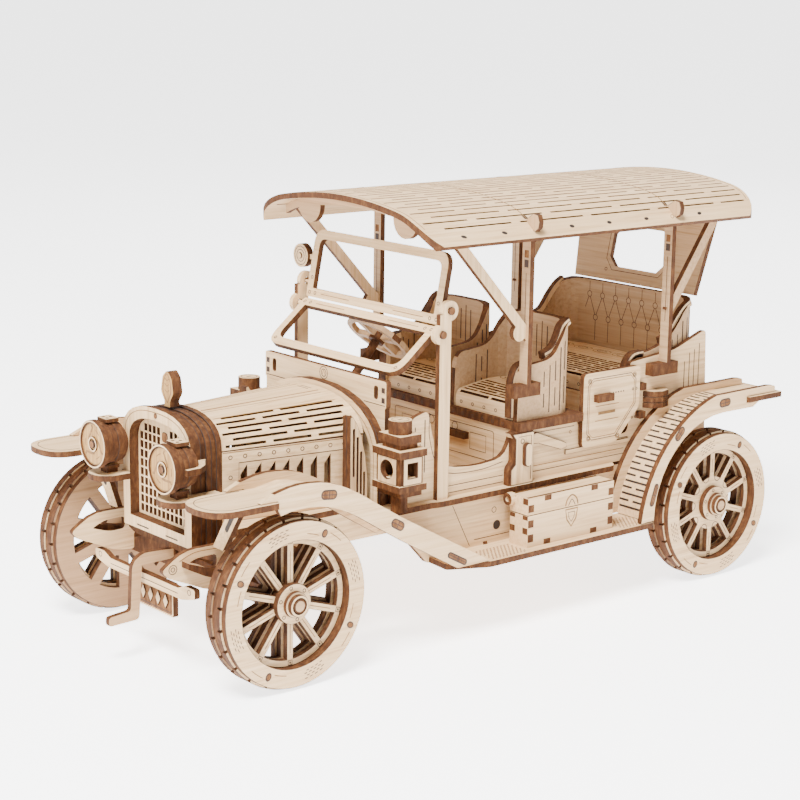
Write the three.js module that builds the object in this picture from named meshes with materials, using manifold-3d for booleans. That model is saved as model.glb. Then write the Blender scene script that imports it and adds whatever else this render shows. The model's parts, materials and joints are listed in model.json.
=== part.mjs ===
// A laser-cut plywood touring car, a push-together 3-D jigsaw at about 1:16.
// Millimetres. +X is the front of the car, +Y its left side, +Z is up.
// The outlines below are drawn about the middle of the wheelbase; the exported group moves the
// finished car so that its origin is the middle of its box, on the ground.

import * as THREE from "three";
import { mergeVertices } from "three/addons/utils/BufferGeometryUtils.js";
import Module from "manifold-3d";

const wasm = await Module();
wasm.setup();

// ---------------------------------------------------------------- driving dimensions
const PLY = 2; // thickness of every sheet
const FIT = 0.3; // gap between pieces that move past each other

const WHEELBASE = 194.2;
const FRONT_X = WHEELBASE / 2;
const REAR_X = -WHEELBASE / 2;

const WHEEL_RADIUS = 27.6;
const WHEEL_FACE_RADIUS = 27;
const WHEEL_HOLE_RADIUS = 20.6;
const WHEEL_INNER_Y = 44.6;
const WHEEL_OUTER_Y = 55.5;
const WHEEL_SIDES = 32;
const SPOKE_COUNT = 10;
const SPOKE_WIDTH = 2.6;
const HUB_RADIUS = 6.4;
const CAP_RADIUS = 3.6;
const CAP_Y = 57.2;
const AXLE_RADIUS = 2.3;

const FLOOR_TOP = 46; // top of the floor sheet, whose edge shows as a ledge along each side
const LEDGE_Y = 41.8;
const RAIL_Y = 26; // inner face of each frame rail
const BODY_Y = 36; // inner face of each body side
const SIDE_Y = BODY_Y + PLY;
const BOARD_TOP = 27; // top of the running boards
const BOARD_Y = 56.4;
const FENDER_Y = 54; // inner face of the outer fender plates
const SKIN_WIDTH = 16; // of the curved skin over a front wheel
const TONGUE_TOP = 61.8; // top of the level tongue in front of a front fender
const REAR_ARCH = { x: -105, z: 21.3, radius: 49.6 }; // outer edge of a rear fender plate
const PLANK_TOP = 66.8; // top of the level plank behind a rear fender

const RADIATOR_FRONT = 112;
const RADIATOR_BACK = 100;
const RADIATOR_HALF = 19.5;
const HOOD_BACK = 48.3;
const HOOD_HALF_FRONT = 19.3;
const HOOD_HALF_BACK = 27;
const COWL_X = 42.4; // rear face of the cowl board
const COWL_TOP = 87.6;

const SEAT_BOARD_TOP = 67.5;
const SEAT_BOARD_THICK = 3;
const FRONT_SEAT_X = [-40, -10]; // back and front of the front seats
const REAR_SEAT_X = [-106, -64];

const POST_X = 24.6; // windscreen post
const UPPER_PIVOT = [22.6, 110];
const LOWER_PIVOT = [26, 102.3];
const UPPER_LEAN = 11; // degrees, backwards
const LOWER_LEAN = 51; // degrees, forwards and down
const SCREEN_HALF = 36.3;

const MIDDLE_FRAME_X = -13; // rear face of the middle roof frame
const REAR_FRAME_X = -83;
const ROOF_FRONT = 39;
const ROOF_BACK = -123;
const ROOF_CREST = 143.6; // underside of the skin on the centre line
const ROOF_FLAT_RADIUS = 170;
const ROOF_FLAT_ANGLE = 10.5; // degrees
const ROOF_EDGE_RADIUS = 28;
const ROOF_EDGE_ANGLE = 49;

const DOOR_HINGE_X = -69.3;

const STEER_Y = -18.5;
const STEER_CENTRE = [5.5, STEER_Y, 90.5];
const STEER_RAKE = 40; // degrees between the column and the vertical
const STEER_RADIUS = 12.5;
const STEER_LENGTH = 53.5;

const LAMP_CENTRE = [20.5, 67.5]; // of a headlight, in y and z
const LANTERN_CENTRE = [45.4, 42.2]; // in x and y

const TOOLBOX_X = [-44.6, -3.2];
const TOOLBOX_Y = [43.6, 52.6];
const TOOLBOX_SEAM = 38.2;
const TOOLBOX_TOP = 44.5;
const LID_PIVOT = [44.2, 42.9];

// ---------------------------------------------------------------- making solids
const rad = THREE.MathUtils.degToRad;

function solid(geometry) {
  const bare = geometry.clone();
  bare.deleteAttribute("normal");
  bare.deleteAttribute("uv");
  const merged = mergeVertices(bare, 1e-4);
  return new wasm.Manifold(
    new wasm.Mesh({
      numProp: 3,
      vertProperties: merged.attributes.position.array,
      triVerts: new Uint32Array(merged.index.array),
    }),
  );
}

function geometryOf(body) {
  const { vertProperties, triVerts, numProp } = body.getMesh();
  const points = [];
  for (let i = 0; i < vertProperties.length; i += numProp) {
    points.push(vertProperties[i], vertProperties[i + 1], vertProperties[i + 2]);
  }
  const geometry = new THREE.BufferGeometry();
  geometry.setAttribute("position", new THREE.Float32BufferAttribute(points, 3));
  geometry.setIndex(Array.from(triVerts));
  geometry.computeVertexNormals();
  return geometry;
}

const join = (...bodies) => bodies.reduce((a, b) => a.add(b));
const cut = (body, ...tools) => tools.reduce((a, b) => a.subtract(b), body);

// A closed outline. A point's third value trims its corner by that length and rounds it.
function outline(points) {
  const shape = new THREE.Shape();
  const at = (i) => new THREE.Vector2(...points[(i + points.length) % points.length].slice(0, 2));
  points.forEach((point, i) => {
    const here = at(i);
    const room = Math.min(here.distanceTo(at(i - 1)), here.distanceTo(at(i + 1)));
    const trim = Math.min(point[2] ?? 0, room * 0.48);
    const start = here.clone().addScaledVector(at(i - 1).sub(here).normalize(), trim);
    const end = here.clone().addScaledVector(at(i + 1).sub(here).normalize(), trim);
    if (i === 0) shape.moveTo(start.x, start.y);
    else shape.lineTo(start.x, start.y);
    if (trim > 0) shape.quadraticCurveTo(here.x, here.y, end.x, end.y);
  });
  shape.closePath();
  return shape;
}

const extruded = (shape, depth, curveSegments) =>
  new THREE.ExtrudeGeometry(shape, { depth, curveSegments, bevelEnabled: false });

// A sheet on edge along the car: the outline is in x and z, between two values of y.
function sideSheet(points, y0, y1, curveSegments = 3) {
  const shape = points instanceof THREE.Shape ? points : outline(points);
  const geometry = extruded(shape, y1 - y0, curveSegments);
  return solid(geometry.rotateX(Math.PI / 2).translate(0, y1, 0));
}

const ACROSS = new THREE.Matrix4().makeBasis(
  new THREE.Vector3(0, 1, 0),
  new THREE.Vector3(0, 0, 1),
  new THREE.Vector3(1, 0, 0),
);

// A sheet across the car: the outline is in y and z, between two values of x.
function crossGeometry(points, x0, x1, curveSegments = 3) {
  const shape = points instanceof THREE.Shape ? points : outline(points);
  return extruded(shape, x1 - x0, curveSegments).applyMatrix4(ACROSS).translate(x0, 0, 0);
}
const crossSheet = (...args) => solid(crossGeometry(...args));

// A level sheet: the outline is in x and y, between two values of z.
function flatSheet(points, z0, z1, curveSegments = 3) {
  const shape = points instanceof THREE.Shape ? points : outline(points);
  return solid(extruded(shape, z1 - z0, curveSegments).translate(0, 0, z0));
}

function box([x0, x1], [y0, y1], [z0, z1]) {
  const geometry = new THREE.BoxGeometry(x1 - x0, y1 - y0, z1 - z0);
  return solid(geometry.translate((x0 + x1) / 2, (y0 + y1) / 2, (z0 + z1) / 2));
}

// A round bar along x, y or z; centre gives the other two coordinates.
function bar(axis, radius, from, to, [a, b], sides = 16) {
  const geometry = new THREE.CylinderGeometry(radius, radius, to - from, sides);
  const middle = (from + to) / 2;
  if (axis === "x") geometry.rotateZ(Math.PI / 2).translate(middle, a, b);
  if (axis === "y") geometry.translate(a, middle, b);
  if (axis === "z") geometry.rotateX(Math.PI / 2).translate(a, b, middle);
  return solid(geometry);
}

// Mirror an outline given for y >= 0 to the other side of the car.
const bothHalves = (half) => [...half, ...half.map(([y, ...rest]) => [-y, ...rest]).reverse()];

// ---------------------------------------------------------------- wheels and axles
function wheel() {
  const tread = WHEEL_RADIUS / Math.cos(Math.PI / WHEEL_SIDES); // flats touch the ground circle
  const rimY = WHEEL_OUTER_Y - 2 * PLY - 1;
  const profile = [
    [WHEEL_HOLE_RADIUS - 1.2, WHEEL_INNER_Y],
    [WHEEL_FACE_RADIUS, WHEEL_INNER_Y],
    [tread, WHEEL_INNER_Y + PLY],
    [tread, WHEEL_OUTER_Y - PLY],
    [WHEEL_FACE_RADIUS, WHEEL_OUTER_Y],
    [WHEEL_HOLE_RADIUS, WHEEL_OUTER_Y],
    [WHEEL_HOLE_RADIUS, rimY],
    [WHEEL_HOLE_RADIUS - 1.2, rimY],
  ];
  const loop = [...profile, profile[0]].map(([r, y]) => new THREE.Vector2(r, y));
  const turn = Math.PI / WHEEL_SIDES;
  let body = solid(new THREE.LatheGeometry(loop, WHEEL_SIDES, turn));
  const spokeY = [WHEEL_INNER_Y + PLY, rimY + PLY];
  for (let i = 0; i < SPOKE_COUNT; i += 1) {
    const length = WHEEL_HOLE_RADIUS - 3;
    const spoke = new THREE.BoxGeometry(SPOKE_WIDTH, spokeY[1] - spokeY[0] - PLY, length);
    spoke.translate(0, (spokeY[0] + spokeY[1] - PLY) / 2, length / 2 + 3);
    body = body.add(solid(spoke.rotateY((2 * Math.PI * (i + 0.5)) / SPOKE_COUNT)));
  }
  body = join(
    body,
    bar("y", HUB_RADIUS, WHEEL_INNER_Y + 1, WHEEL_OUTER_Y - 0.7, [0, 0], 16),
    bar("y", CAP_RADIUS, WHEEL_OUTER_Y - 1, CAP_Y, [0, 0], 12),
  );
  return cut(body, bar("y", AXLE_RADIUS + FIT, WHEEL_INNER_Y - 1, CAP_Y + 1, [0, 0], 12));
}

// An axle with its cross beam and the two leaf springs that carry the frame on it.
function axle(x) {
  const beamHalf = WHEEL_INNER_Y - 1;
  const beam = box([x - 3, x + 3], [-beamHalf, beamHalf], [WHEEL_RADIUS - 3.2, WHEEL_RADIUS + 3.2]);
  const rod = bar("y", AXLE_RADIUS, -CAP_Y, CAP_Y, [x, WHEEL_RADIUS], 12);
  const springReach = 24;
  const low = WHEEL_RADIUS + 2.9;
  const leaf = new THREE.Shape();
  leaf.moveTo(x - springReach, low + 7);
  leaf.quadraticCurveTo(x, low - 7, x + springReach, low + 7);
  leaf.lineTo(x + springReach, low + 9);
  leaf.quadraticCurveTo(x, low - 1, x - springReach, low + 9);
  leaf.closePath();
  const springs = [1, -1].map((side) => {
    const inner = RAIL_Y + PLY;
    return side > 0
      ? sideSheet(leaf, inner, inner + 2 * PLY, 8)
      : sideSheet(leaf, -inner - 2 * PLY, -inner, 8);
  });
  return join(beam, rod, ...springs);
}

// ---------------------------------------------------------------- chassis
function floorSheet() {
  const half = [
    [100, 24],
    [100, 28],
    [52, 28],
    [48, 34, 1],
    [48, LEDGE_Y - 0.8, 2],
    [30, LEDGE_Y - 0.8],
    [27, LEDGE_Y, 1],
    [-56, LEDGE_Y, 2],
    [-60, 35.8, 1],
    [-112, 35.8],
  ];
  const mirrored = half.map(([x, y, r]) => [x, -y, r]).reverse();
  return flatSheet([...half, ...mirrored], FLOOR_TOP - PLY, FLOOR_TOP);
}

// A frame rail, with the dumb iron that curls down in front of the axle.
function frameRail() {
  const top = FLOOR_TOP - PLY;
  const rail = sideSheet(
    [
      [-112, 34, 3],
      [-112, top],
      [98, top],
      [107, 42.4, 2],
      [120.5, 42.6, 7],
      [128.6, 37.2, 1.5],
      [126, 34.6, 1],
      [118.4, 31.4, 4],
      [112, 28.4, 3],
      [104.5, 27.6, 1],
      [104.5, 33.5, 1],
      [88, 36.8, 4],
      [74, 34, 4],
      [-72, 34, 4],
      [-88, 37.5, 6],
      [-104, 37.5, 6],
    ],
    RAIL_Y,
    RAIL_Y + PLY,
  );
  const eye = [
    [108, 35.4, 1.5],
    [108, 39.6, 1.5],
    [116, 39.4, 2],
    [120.6, 37.4, 0.8],
    [114, 35.2, 2],
  ];
  return cut(rail, sideSheet(eye, RAIL_Y - 1, RAIL_Y + PLY + 1, 3));
}

// The beam across the dumb irons, with the number plate hung on its back.
function crossBeam() {
  const beam = crossSheet(
    [
      [-29.5, 26.4, 1],
      [-29.5, 29.6, 1],
      [-24, 29.6],
      [-20, 28],
      [20, 28],
      [24, 29.6],
      [29.5, 29.6, 1],
      [29.5, 26.4, 1],
      [22, 24.6],
      [-22, 24.6],
    ],
    115.4,
    115.4 + PLY,
  );
  const plate = crossSheet(
    [
      [-12.6, 15.4, 0.6],
      [12.6, 15.4, 0.6],
      [12.6, 26.6, 0.6],
      [-12.6, 26.6, 0.6],
    ],
    112.4,
    112.4 + PLY,
  );
  return join(beam, plate, box([113, 116], [-6, 6], [24.8, 26.4]));
}

// The level apron between the dumb irons; the block under it carries the starting crank.
function frontApron() {
  const sheet = flatSheet(
    [
      [97, -25.9],
      [107, -25.9, 2],
      [110, -16, 3],
      [110, 16, 3],
      [107, 25.9, 2],
      [97, 25.9],
    ],
    36.2,
    36.2 + PLY,
  );
  const block = box([100.6, 105.4], [-5, 5], [29.4, 36.4]);
  return cut(join(sheet, block), bar("x", 2.2, 99, 107, [0, 32.8], 12));
}

// The crank: a round journal in the block, and a flat Z-shaped handle cut from one sheet.
function startingCrank() {
  const handle = sideSheet(
    [
      [105.9, 31.2],
      [105.9, 34.4],
      [118, 35, 2],
      [122.2, 32.4, 3],
      [123, 16.4, 1],
      [131.2, 15.6, 1],
      [131.2, 12.6, 1],
      [119.8, 13, 1.5],
      [118.6, 31],
    ],
    -PLY / 2,
    PLY / 2,
  );
  return join(handle, bar("x", 1.8, 100.8, 106.4, [0, 32.8], 12));
}

function runningBoard() {
  const board = flatSheet(
    [
      [30, 40],
      [-62, 40],
      [-62, BOARD_Y, 1],
      [17, BOARD_Y, 1],
      [31, 50, 1],
    ],
    BOARD_TOP - PLY,
    BOARD_TOP,
  );
  const skirt = sideSheet(
    [
      [46, FLOOR_TOP - PLY],
      [46, 41, 1],
      [31, BOARD_TOP - PLY, 1],
      [-55, BOARD_TOP - PLY],
      [-55, FLOOR_TOP - PLY],
    ],
    SIDE_Y,
    SIDE_Y + PLY,
  );
  const hanger = [
    [28, 42],
    [28, 35],
    [36, 22, 2],
    [49, 21.4, 2],
    [52, BOARD_TOP - PLY],
    [41, BOARD_TOP - 1],
    [SIDE_Y + 1, 30],
    [34, 42],
  ];
  return join(board, skirt, crossSheet(hanger, 4, 4 + PLY), crossSheet(hanger, -40, -40 + PLY));
}

// ---------------------------------------------------------------- fenders
// The top edge of a front fender plate, lowered by a given amount, from back to front.
function frontFenderCurve(lower) {
  const curve = new THREE.SplineCurve(
    [
      [54.9, 48.3],
      [65, 54.4],
      [76.1, 61.1],
      [86, 65],
      [97, 66],
      [106, 64.4],
    ].map(([x, z]) => new THREE.Vector2(x, z - lower)),
  );
  return curve.getPoints(14).map((p) => [p.x, p.y]);
}

function frontFenderPlate(y0) {
  const band = 7.7;
  const lowerEdge = frontFenderCurve(band)
    .filter(([x]) => x < 104)
    .reverse();
  const points = [
    [17, BOARD_TOP + FIT],
    ...frontFenderCurve(0),
    [111.6, TONGUE_TOP + FIT, 1],
    [104.6, TONGUE_TOP + FIT],
    [104.6, 59.2],
    ...lowerEdge,
    [31.4, BOARD_TOP + FIT],
  ];
  return sideSheet(points, y0, y0 + PLY);
}

// Skin, front tongue, inner plate and the stay down to the dumb iron.
function frontFenderSkin() {
  const drop = 2.8;
  const top = frontFenderCurve(drop).filter(([x]) => x < 96);
  const skinPoints = [
    [24.5, BOARD_TOP + FIT],
    ...top,
    [101, TONGUE_TOP],
    [101, TONGUE_TOP - PLY],
    ...top.map(([x, z]) => [x + 0.9, z - 2.1]).reverse(),
    [29, BOARD_TOP + FIT],
  ];
  const inner = FENDER_Y - SKIN_WIDTH;
  const skin = sideSheet(skinPoints, inner, FENDER_Y);
  const clear = box([10, 50], [inner - 1, LEDGE_Y + FIT], [20, 60]);
  const tongue = flatSheet(
    [
      [100, 38],
      [104.6 + FIT, 38],
      [104.6 + FIT, 36.2],
      [129, 36.2, 10],
      [129, 57, 10],
      [104.6 + FIT, 57],
      [104.6 + FIT, FENDER_Y],
      [100, FENDER_Y],
    ],
    TONGUE_TOP - PLY,
    TONGUE_TOP,
    8,
  );
  const innerPlate = cut(
    frontFenderPlate(inner - PLY),
    box([10, 51], [30, 40], [20, 60]),
    box([104, 130], [30, 40], [TONGUE_TOP - PLY - 1, TONGUE_TOP + 0.1]),
  );
  const stay = crossSheet(
    [
      [27.9, 42],
      [33.5, 42],
      [46, TONGUE_TOP - 1],
      [40, TONGUE_TOP - 1],
    ],
    107.4,
    107.4 + PLY,
  );
  const railGap = box([100, 112], [20, RAIL_Y + PLY + FIT], [30, 50]);
  return join(cut(skin, clear), tongue, innerPlate, cut(stay, railGap));
}

function arcPoints(x, z, radius, from, to, steps) {
  return Array.from({ length: steps + 1 }, (_, i) => {
    const angle = rad(from + ((to - from) * i) / steps);
    return [x + radius * Math.cos(angle), z + radius * Math.sin(angle)];
  });
}

function rearFenderPlate(y0) {
  const points = [
    ...arcPoints(REAR_ARCH.x, REAR_ARCH.z, REAR_ARCH.radius, 7, 76, 12),
    [-122, 69.7],
    [-125.6, 69.2, 1],
    [-125.6, PLANK_TOP + FIT],
    [-109.7, PLANK_TOP + FIT],
    [-109.7, PLANK_TOP - PLY - FIT],
    [-117, PLANK_TOP - PLY - FIT],
    [-113.5, 62.6],
    ...arcPoints(REAR_X, WHEEL_RADIUS, 35, 90, 0, 10),
  ];
  return sideSheet(points, y0, y0 + PLY);
}

// Skin, rear plank and inner plate of a rear fender.
function rearFenderSkin() {
  const inner = SIDE_Y + 0.2;
  const outerRadius = PLANK_TOP - REAR_ARCH.z;
  const band = [
    ...arcPoints(REAR_ARCH.x, REAR_ARCH.z, outerRadius, 7.6, 90, 14),
    [-108, PLANK_TOP],
    [-108, PLANK_TOP - PLY],
    ...arcPoints(REAR_ARCH.x, REAR_ARCH.z, outerRadius - PLY, 90, 8, 14),
  ];
  const plank = flatSheet(
    [
      [-104, inner + 1],
      [-110, inner + 1],
      [-110, inner - 1],
      [-128.6, inner - 1, 1],
      [-128.6, BOARD_Y + 1, 1],
      [-110, BOARD_Y + 1],
      [-110, FENDER_Y],
      [-104, FENDER_Y],
    ],
    PLANK_TOP - PLY,
    PLANK_TOP,
  );
  return join(sideSheet(band, inner, FENDER_Y), plank, rearFenderPlate(inner));
}

// ---------------------------------------------------------------- bonnet, radiator, cowl
// Half outline of the radiator and bonnet: upright sides under a rounded top.
function archOutline(half, foot, shoulder, top, steps = 7, power = 2.5) {
  const side = [[half, foot]];
  for (let i = 0; i <= steps; i += 1) {
    const angle = (Math.PI / 2) * (i / steps);
    const y = half * Math.cos(angle) ** (2 / power);
    side.push([y, shoulder + (top - shoulder) * Math.sin(angle) ** (2 / power)]);
  }
  const mirrored = side.slice(0, -1).map(([y, z]) => [-y, z]);
  return [...side, ...mirrored.reverse()];
}

function radiatorShell() {
  const ring = (half, foot, shoulder, top, x0, x1) =>
    crossSheet(archOutline(half, foot, shoulder, top), x0, x1);
  const hollow = ring(RADIATOR_HALF - 3.5, 43.2, 69, 77.6, RADIATOR_BACK - 1, RADIATOR_FRONT + 1);
  const front = ring(RADIATOR_HALF + 0.4, 39.4, 70, 81.6, RADIATOR_FRONT - PLY, RADIATOR_FRONT);
  const layers = [];
  for (let i = 0; i < 5; i += 1) {
    const shrink = i % 2 ? 0.5 : 0;
    const x0 = RADIATOR_BACK + i * PLY;
    layers.push(ring(RADIATOR_HALF - shrink, 38.2, 70, 81 - shrink, x0, x0 + PLY));
  }
  const foot = box([RADIATOR_BACK, RADIATOR_FRONT - 4], [-RADIATOR_HALF, RADIATOR_HALF], [38.2, 40]);
  return join(cut(join(front, ...layers), hollow), foot);
}

function radiatorGrille() {
  const back = RADIATOR_FRONT - 3.4 - PLY;
  const grid = crossSheet(archOutline(RADIATOR_HALF - 3.6, 43.3, 69, 77.5), back, back + PLY);
  const slots = [];
  for (let column = -3; column <= 3; column += 1) {
    for (const z of [46, 58.5]) {
      const y = column * 4;
      slots.push(box([back - 1, back + PLY + 1], [y - 1.2, y + 1.2], [z, z + 11]));
    }
  }
  return cut(grid, ...slots);
}

function finial() {
  return crossSheet(
    [
      [-1.6, 81.7],
      [1.6, 81.7],
      [1.6, 83.6],
      [3.6, 86.4, 0.8],
      [2.6, 91.4, 0.8],
      [0, 93.6, 1],
      [-2.6, 91.4, 0.8],
      [-3.6, 86.4, 0.8],
      [-1.6, 83.6],
    ],
    104,
    107.6,
  );
}

function hood() {
  const ring = (half, top) => {
    const outer = archOutline(half, FLOOR_TOP, 67, top, 6, 2.3);
    const inner = archOutline(half - PLY, FLOOR_TOP, 67, top - PLY, 6, 2.3);
    return [...outer, ...inner.reverse()];
  };
  const front = ring(HOOD_HALF_FRONT, 80);
  const back = ring(HOOD_HALF_BACK, 81.4);
  const caps = THREE.ShapeUtils.triangulateShape(
    front.map(([y, z]) => new THREE.Vector2(y, z)),
    [],
  );
  const points = [];
  for (const [y, z] of back) {
    points.push(HOOD_BACK, y, z);
  }
  for (const [y, z] of front) {
    points.push(RADIATOR_BACK - FIT, y, z);
  }
  const n = front.length;
  const faces = [];
  for (const [a, b, c] of caps) {
    faces.push(a, c, b, n + a, n + b, n + c);
  }
  for (let i = 0; i < n; i += 1) {
    const j = (i + 1) % n;
    faces.push(i, j, n + j, i, n + j, n + i);
  }
  const geometry = new THREE.BufferGeometry();
  geometry.setAttribute("position", new THREE.Float32BufferAttribute(points, 3));
  geometry.setIndex(faces);
  const louvres = [];
  for (let i = 0; i < 7; i += 1) {
    const x = 61.4 + i * 5.05;
    louvres.push(box([x - 1, x + 1], [-40, 40], [50, 63.6]));
  }
  return cut(solid(geometry), ...louvres);
}

// The hoop that closes the back of the bonnet, with its slatted cheek panels.
function cowlHoop() {
  const x0 = COWL_X + PLY;
  const hoop = crossSheet(archOutline(34, FLOOR_TOP, 62, 83, 8, 2.2), x0, HOOD_BACK - FIT);
  const hollow = crossSheet(archOutline(30.2, FLOOR_TOP - 1, 62, 79.2, 8, 2.2), x0 - 1, HOOD_BACK);
  return cut(hoop, hollow);
}

function cowlBoard() {
  const half = [
    [33, FLOOR_TOP],
    [33, 78.4],
    [33.6, 79],
    [33.6, COWL_TOP, 0.8],
  ];
  let board = crossSheet(bothHalves(half), COWL_X, COWL_X + PLY);
  for (const y of [28.3, -28.3]) {
    const slot = [
      [y - 1.1, 81, 1],
      [y + 1.1, 81, 1],
      [y + 1.1, 85.6, 1],
      [y - 1.1, 85.6, 1],
    ];
    board = board.subtract(crossSheet(slot, COWL_X - 1, COWL_X + PLY + 1));
  }
  const socket = box([COWL_X - 5, COWL_X], [STEER_Y - 3, STEER_Y + 3], [FLOOR_TOP, 54]);
  return cut(join(board, socket), steeringShaft(AXLE_RADIUS, 0.4));
}

// ---------------------------------------------------------------- steering wheel
function placeSteering(geometry) {
  return solid(geometry.rotateY(rad(-STEER_RAKE)).translate(...STEER_CENTRE));
}

function steeringShaft(radius, spare) {
  const length = STEER_LENGTH + spare;
  const shaft = new THREE.CylinderGeometry(radius, radius, length, 12);
  return placeSteering(shaft.rotateX(Math.PI / 2).translate(0, 0, -length / 2));
}

function steeringWheel() {
  const loop = [
    [STEER_RADIUS - 2, -1],
    [STEER_RADIUS, -1],
    [STEER_RADIUS, 1],
    [STEER_RADIUS - 2, 1],
    [STEER_RADIUS - 2, -1],
  ].map(([r, y]) => new THREE.Vector2(r, y));
  const rim = placeSteering(new THREE.LatheGeometry(loop, 20).rotateX(Math.PI / 2));
  const long = 2 * STEER_RADIUS - 2;
  const spokes = [0, 1].map((i) => {
    const spoke = new THREE.BoxGeometry(long, 2.2, PLY).rotateZ((i * Math.PI) / 2);
    return placeSteering(spoke);
  });
  const boss = new THREE.CylinderGeometry(3, 3, 4, 16).rotateX(Math.PI / 2);
  return join(rim, ...spokes, placeSteering(boss), steeringShaft(1.6, 0));
}

// ---------------------------------------------------------------- body
// The low front side with its scooped doorway, the cheek to the cowl, and the pillar behind.
function bodySide() {
  const top = SEAT_BOARD_TOP - SEAT_BOARD_THICK;
  const side = sideSheet(
    [
      [39.2, FLOOR_TOP],
      [39.2, 66, 2],
      [37, 75, 2],
      [30, 77, 2],
      [27.4, 66, 3],
      [22, 56.4, 4],
      [8, 54.6, 8],
      [-5, 56, 5],
      [-8.5, top, 1],
      [-16, top],
      [-16, FLOOR_TOP],
    ],
    BODY_Y,
    SIDE_Y,
  );
  const cheek = join(
    box([36, 39.2], [33, BODY_Y + 0.5], [FLOOR_TOP, 72]),
    box([38, COWL_X], [33, 35], [FLOOR_TOP, 72]),
  );
  const pillar = sideSheet(
    [
      [-5, FLOOR_TOP],
      [-5, 52, 1],
      [-7, 54, 1],
      [-7, 62, 1],
      [-5, top],
      [-16, top],
      [-16, FLOOR_TOP],
    ],
    SIDE_Y - 0.2,
    SIDE_Y + 2.6,
  );
  return join(side, cheek, pillar);
}

// The side behind the pillar: sill, rear doorway and the quarter beside the rear seat.
function rearQuarter() {
  const top = SEAT_BOARD_TOP - SEAT_BOARD_THICK;
  const side = sideSheet(
    [
      [-16, FLOOR_TOP],
      [-16, top],
      [-39.5, top, 1],
      [-42.5, 56, 3],
      [-66, 56, 3],
      [-66, 82, 1],
      [-89, 84, 3],
      [-106, 90, 2],
      [-108, FLOOR_TOP],
    ],
    BODY_Y,
    SIDE_Y,
  );
  const hinge = [61, 71.5].map((z) =>
    box([-72.6, DOOR_HINGE_X - 0.3], [SIDE_Y - 0.5, SIDE_Y + 2.3], [z, z + 2.5]),
  );
  return join(side, ...hinge);
}

function door() {
  const leaf = sideSheet(
    [
      [-40.4, 54.2, 2],
      [-40.4, 81, 2],
      [-69, 81, 2],
      [-69, 66, 2],
      [-57.5, 54.2, 2],
    ],
    SIDE_Y + FIT,
    SIDE_Y + FIT + PLY,
  );
  const outer = SIDE_Y + FIT + PLY;
  return join(leaf, box([-53.6, -45.6], [outer - 0.5, outer + 2.4], [70.4, 73]));
}

// A tub of bent sheet seen from above as a U, open at the front, with its top edge cut to a curve.
function tub([back, front], [y0, y1], foot, edge, corner) {
  const plan = (x0, x1, inset, round) => [
    [x1, y0 + inset],
    [x1, y1 - inset],
    [x0, y1 - inset, round],
    [x0, y0 + inset, round],
  ];
  const above = 160;
  const block = flatSheet(plan(back, front, 0, corner), foot, above, 5);
  const hollow = flatSheet(plan(back + PLY, front + 1, PLY, corner - 1), foot - 1, above + 1, 5);
  return cut(block, hollow).intersect(sideSheet(edge, y0 - 1, y1 + 1, 5));
}

function frontSeatBox() {
  const [back, front] = FRONT_SEAT_X;
  const under = SEAT_BOARD_TOP - SEAT_BOARD_THICK;
  const board = flatSheet(
    [
      [front + 0.6, -41],
      [front + 0.6, 41],
      [back, 41],
      [back, -41],
    ],
    under,
    SEAT_BOARD_TOP,
  );
  const inner = BODY_Y - 0.2;
  const face = box([front - PLY, front], [-inner, inner], [FLOOR_TOP, under + 0.5]);
  const rear = box([back, back + PLY], [-inner, inner], [FLOOR_TOP, under + 0.5]);
  const drawer = box([front - 0.5, front + 2.2], [4, 14], [57, 59.4]);
  return join(board, face, rear, drawer);
}

function frontSeatShell() {
  const [back, front] = FRONT_SEAT_X;
  const edge = [
    [front - 0.5, SEAT_BOARD_TOP],
    [front - 1, 83, 2],
    [front - 3, 86.6, 2],
    [front - 8, 87, 2],
    [-27, 88, 6],
    [-35, 99.6, 5],
    [back - 1, 100.4, 1],
    [back - 1, SEAT_BOARD_TOP],
  ];
  return tub(FRONT_SEAT_X, [3, SIDE_Y], SEAT_BOARD_TOP, edge, 12);
}

function seatCushion([x0, x1], [y0, y1], corner) {
  const foot = SEAT_BOARD_TOP;
  const profile = [
    [x1, foot],
    [x1, foot + 6.4, 3],
    [x1 - 8, foot + 8.4, 3],
    [x0, foot + 7],
    [x0, foot],
  ];
  const plan = [
    [x1, y0],
    [x1, y1],
    [x0, y1, corner],
    [x0, y0, corner],
  ];
  return sideSheet(profile, y0, y1).intersect(flatSheet(plan, foot - 1, foot + 20));
}

function rearSeatBase() {
  const [back, front] = REAR_SEAT_X;
  const inner = BODY_Y - 0.2;
  const under = SEAT_BOARD_TOP - SEAT_BOARD_THICK;
  const board = box([back, front], [-inner, inner], [under, SEAT_BOARD_TOP]);
  const face = box([front - PLY, front], [-inner, inner], [FLOOR_TOP, under + 0.5]);
  const rear = box([back - PLY, back], [-inner, inner], [FLOOR_TOP, 84]);
  return join(board, face, rear);
}

function rearSeatShell() {
  const [back, front] = REAR_SEAT_X;
  const edge = [
    [front - 2, SEAT_BOARD_TOP],
    [front - 2, 79, 3],
    [front - 6, 84, 3],
    [front - 12, 84, 3],
    [-88, 87, 6],
    [-98, 99, 6],
    [-104, 101.4, 1],
    [back - 1, 101.4],
    [back - 1, SEAT_BOARD_TOP],
  ];
  const half = BODY_Y - 0.3;
  return tub([back + 0.2, front - 2], [-half, half], SEAT_BOARD_TOP, edge, 12);
}

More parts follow.
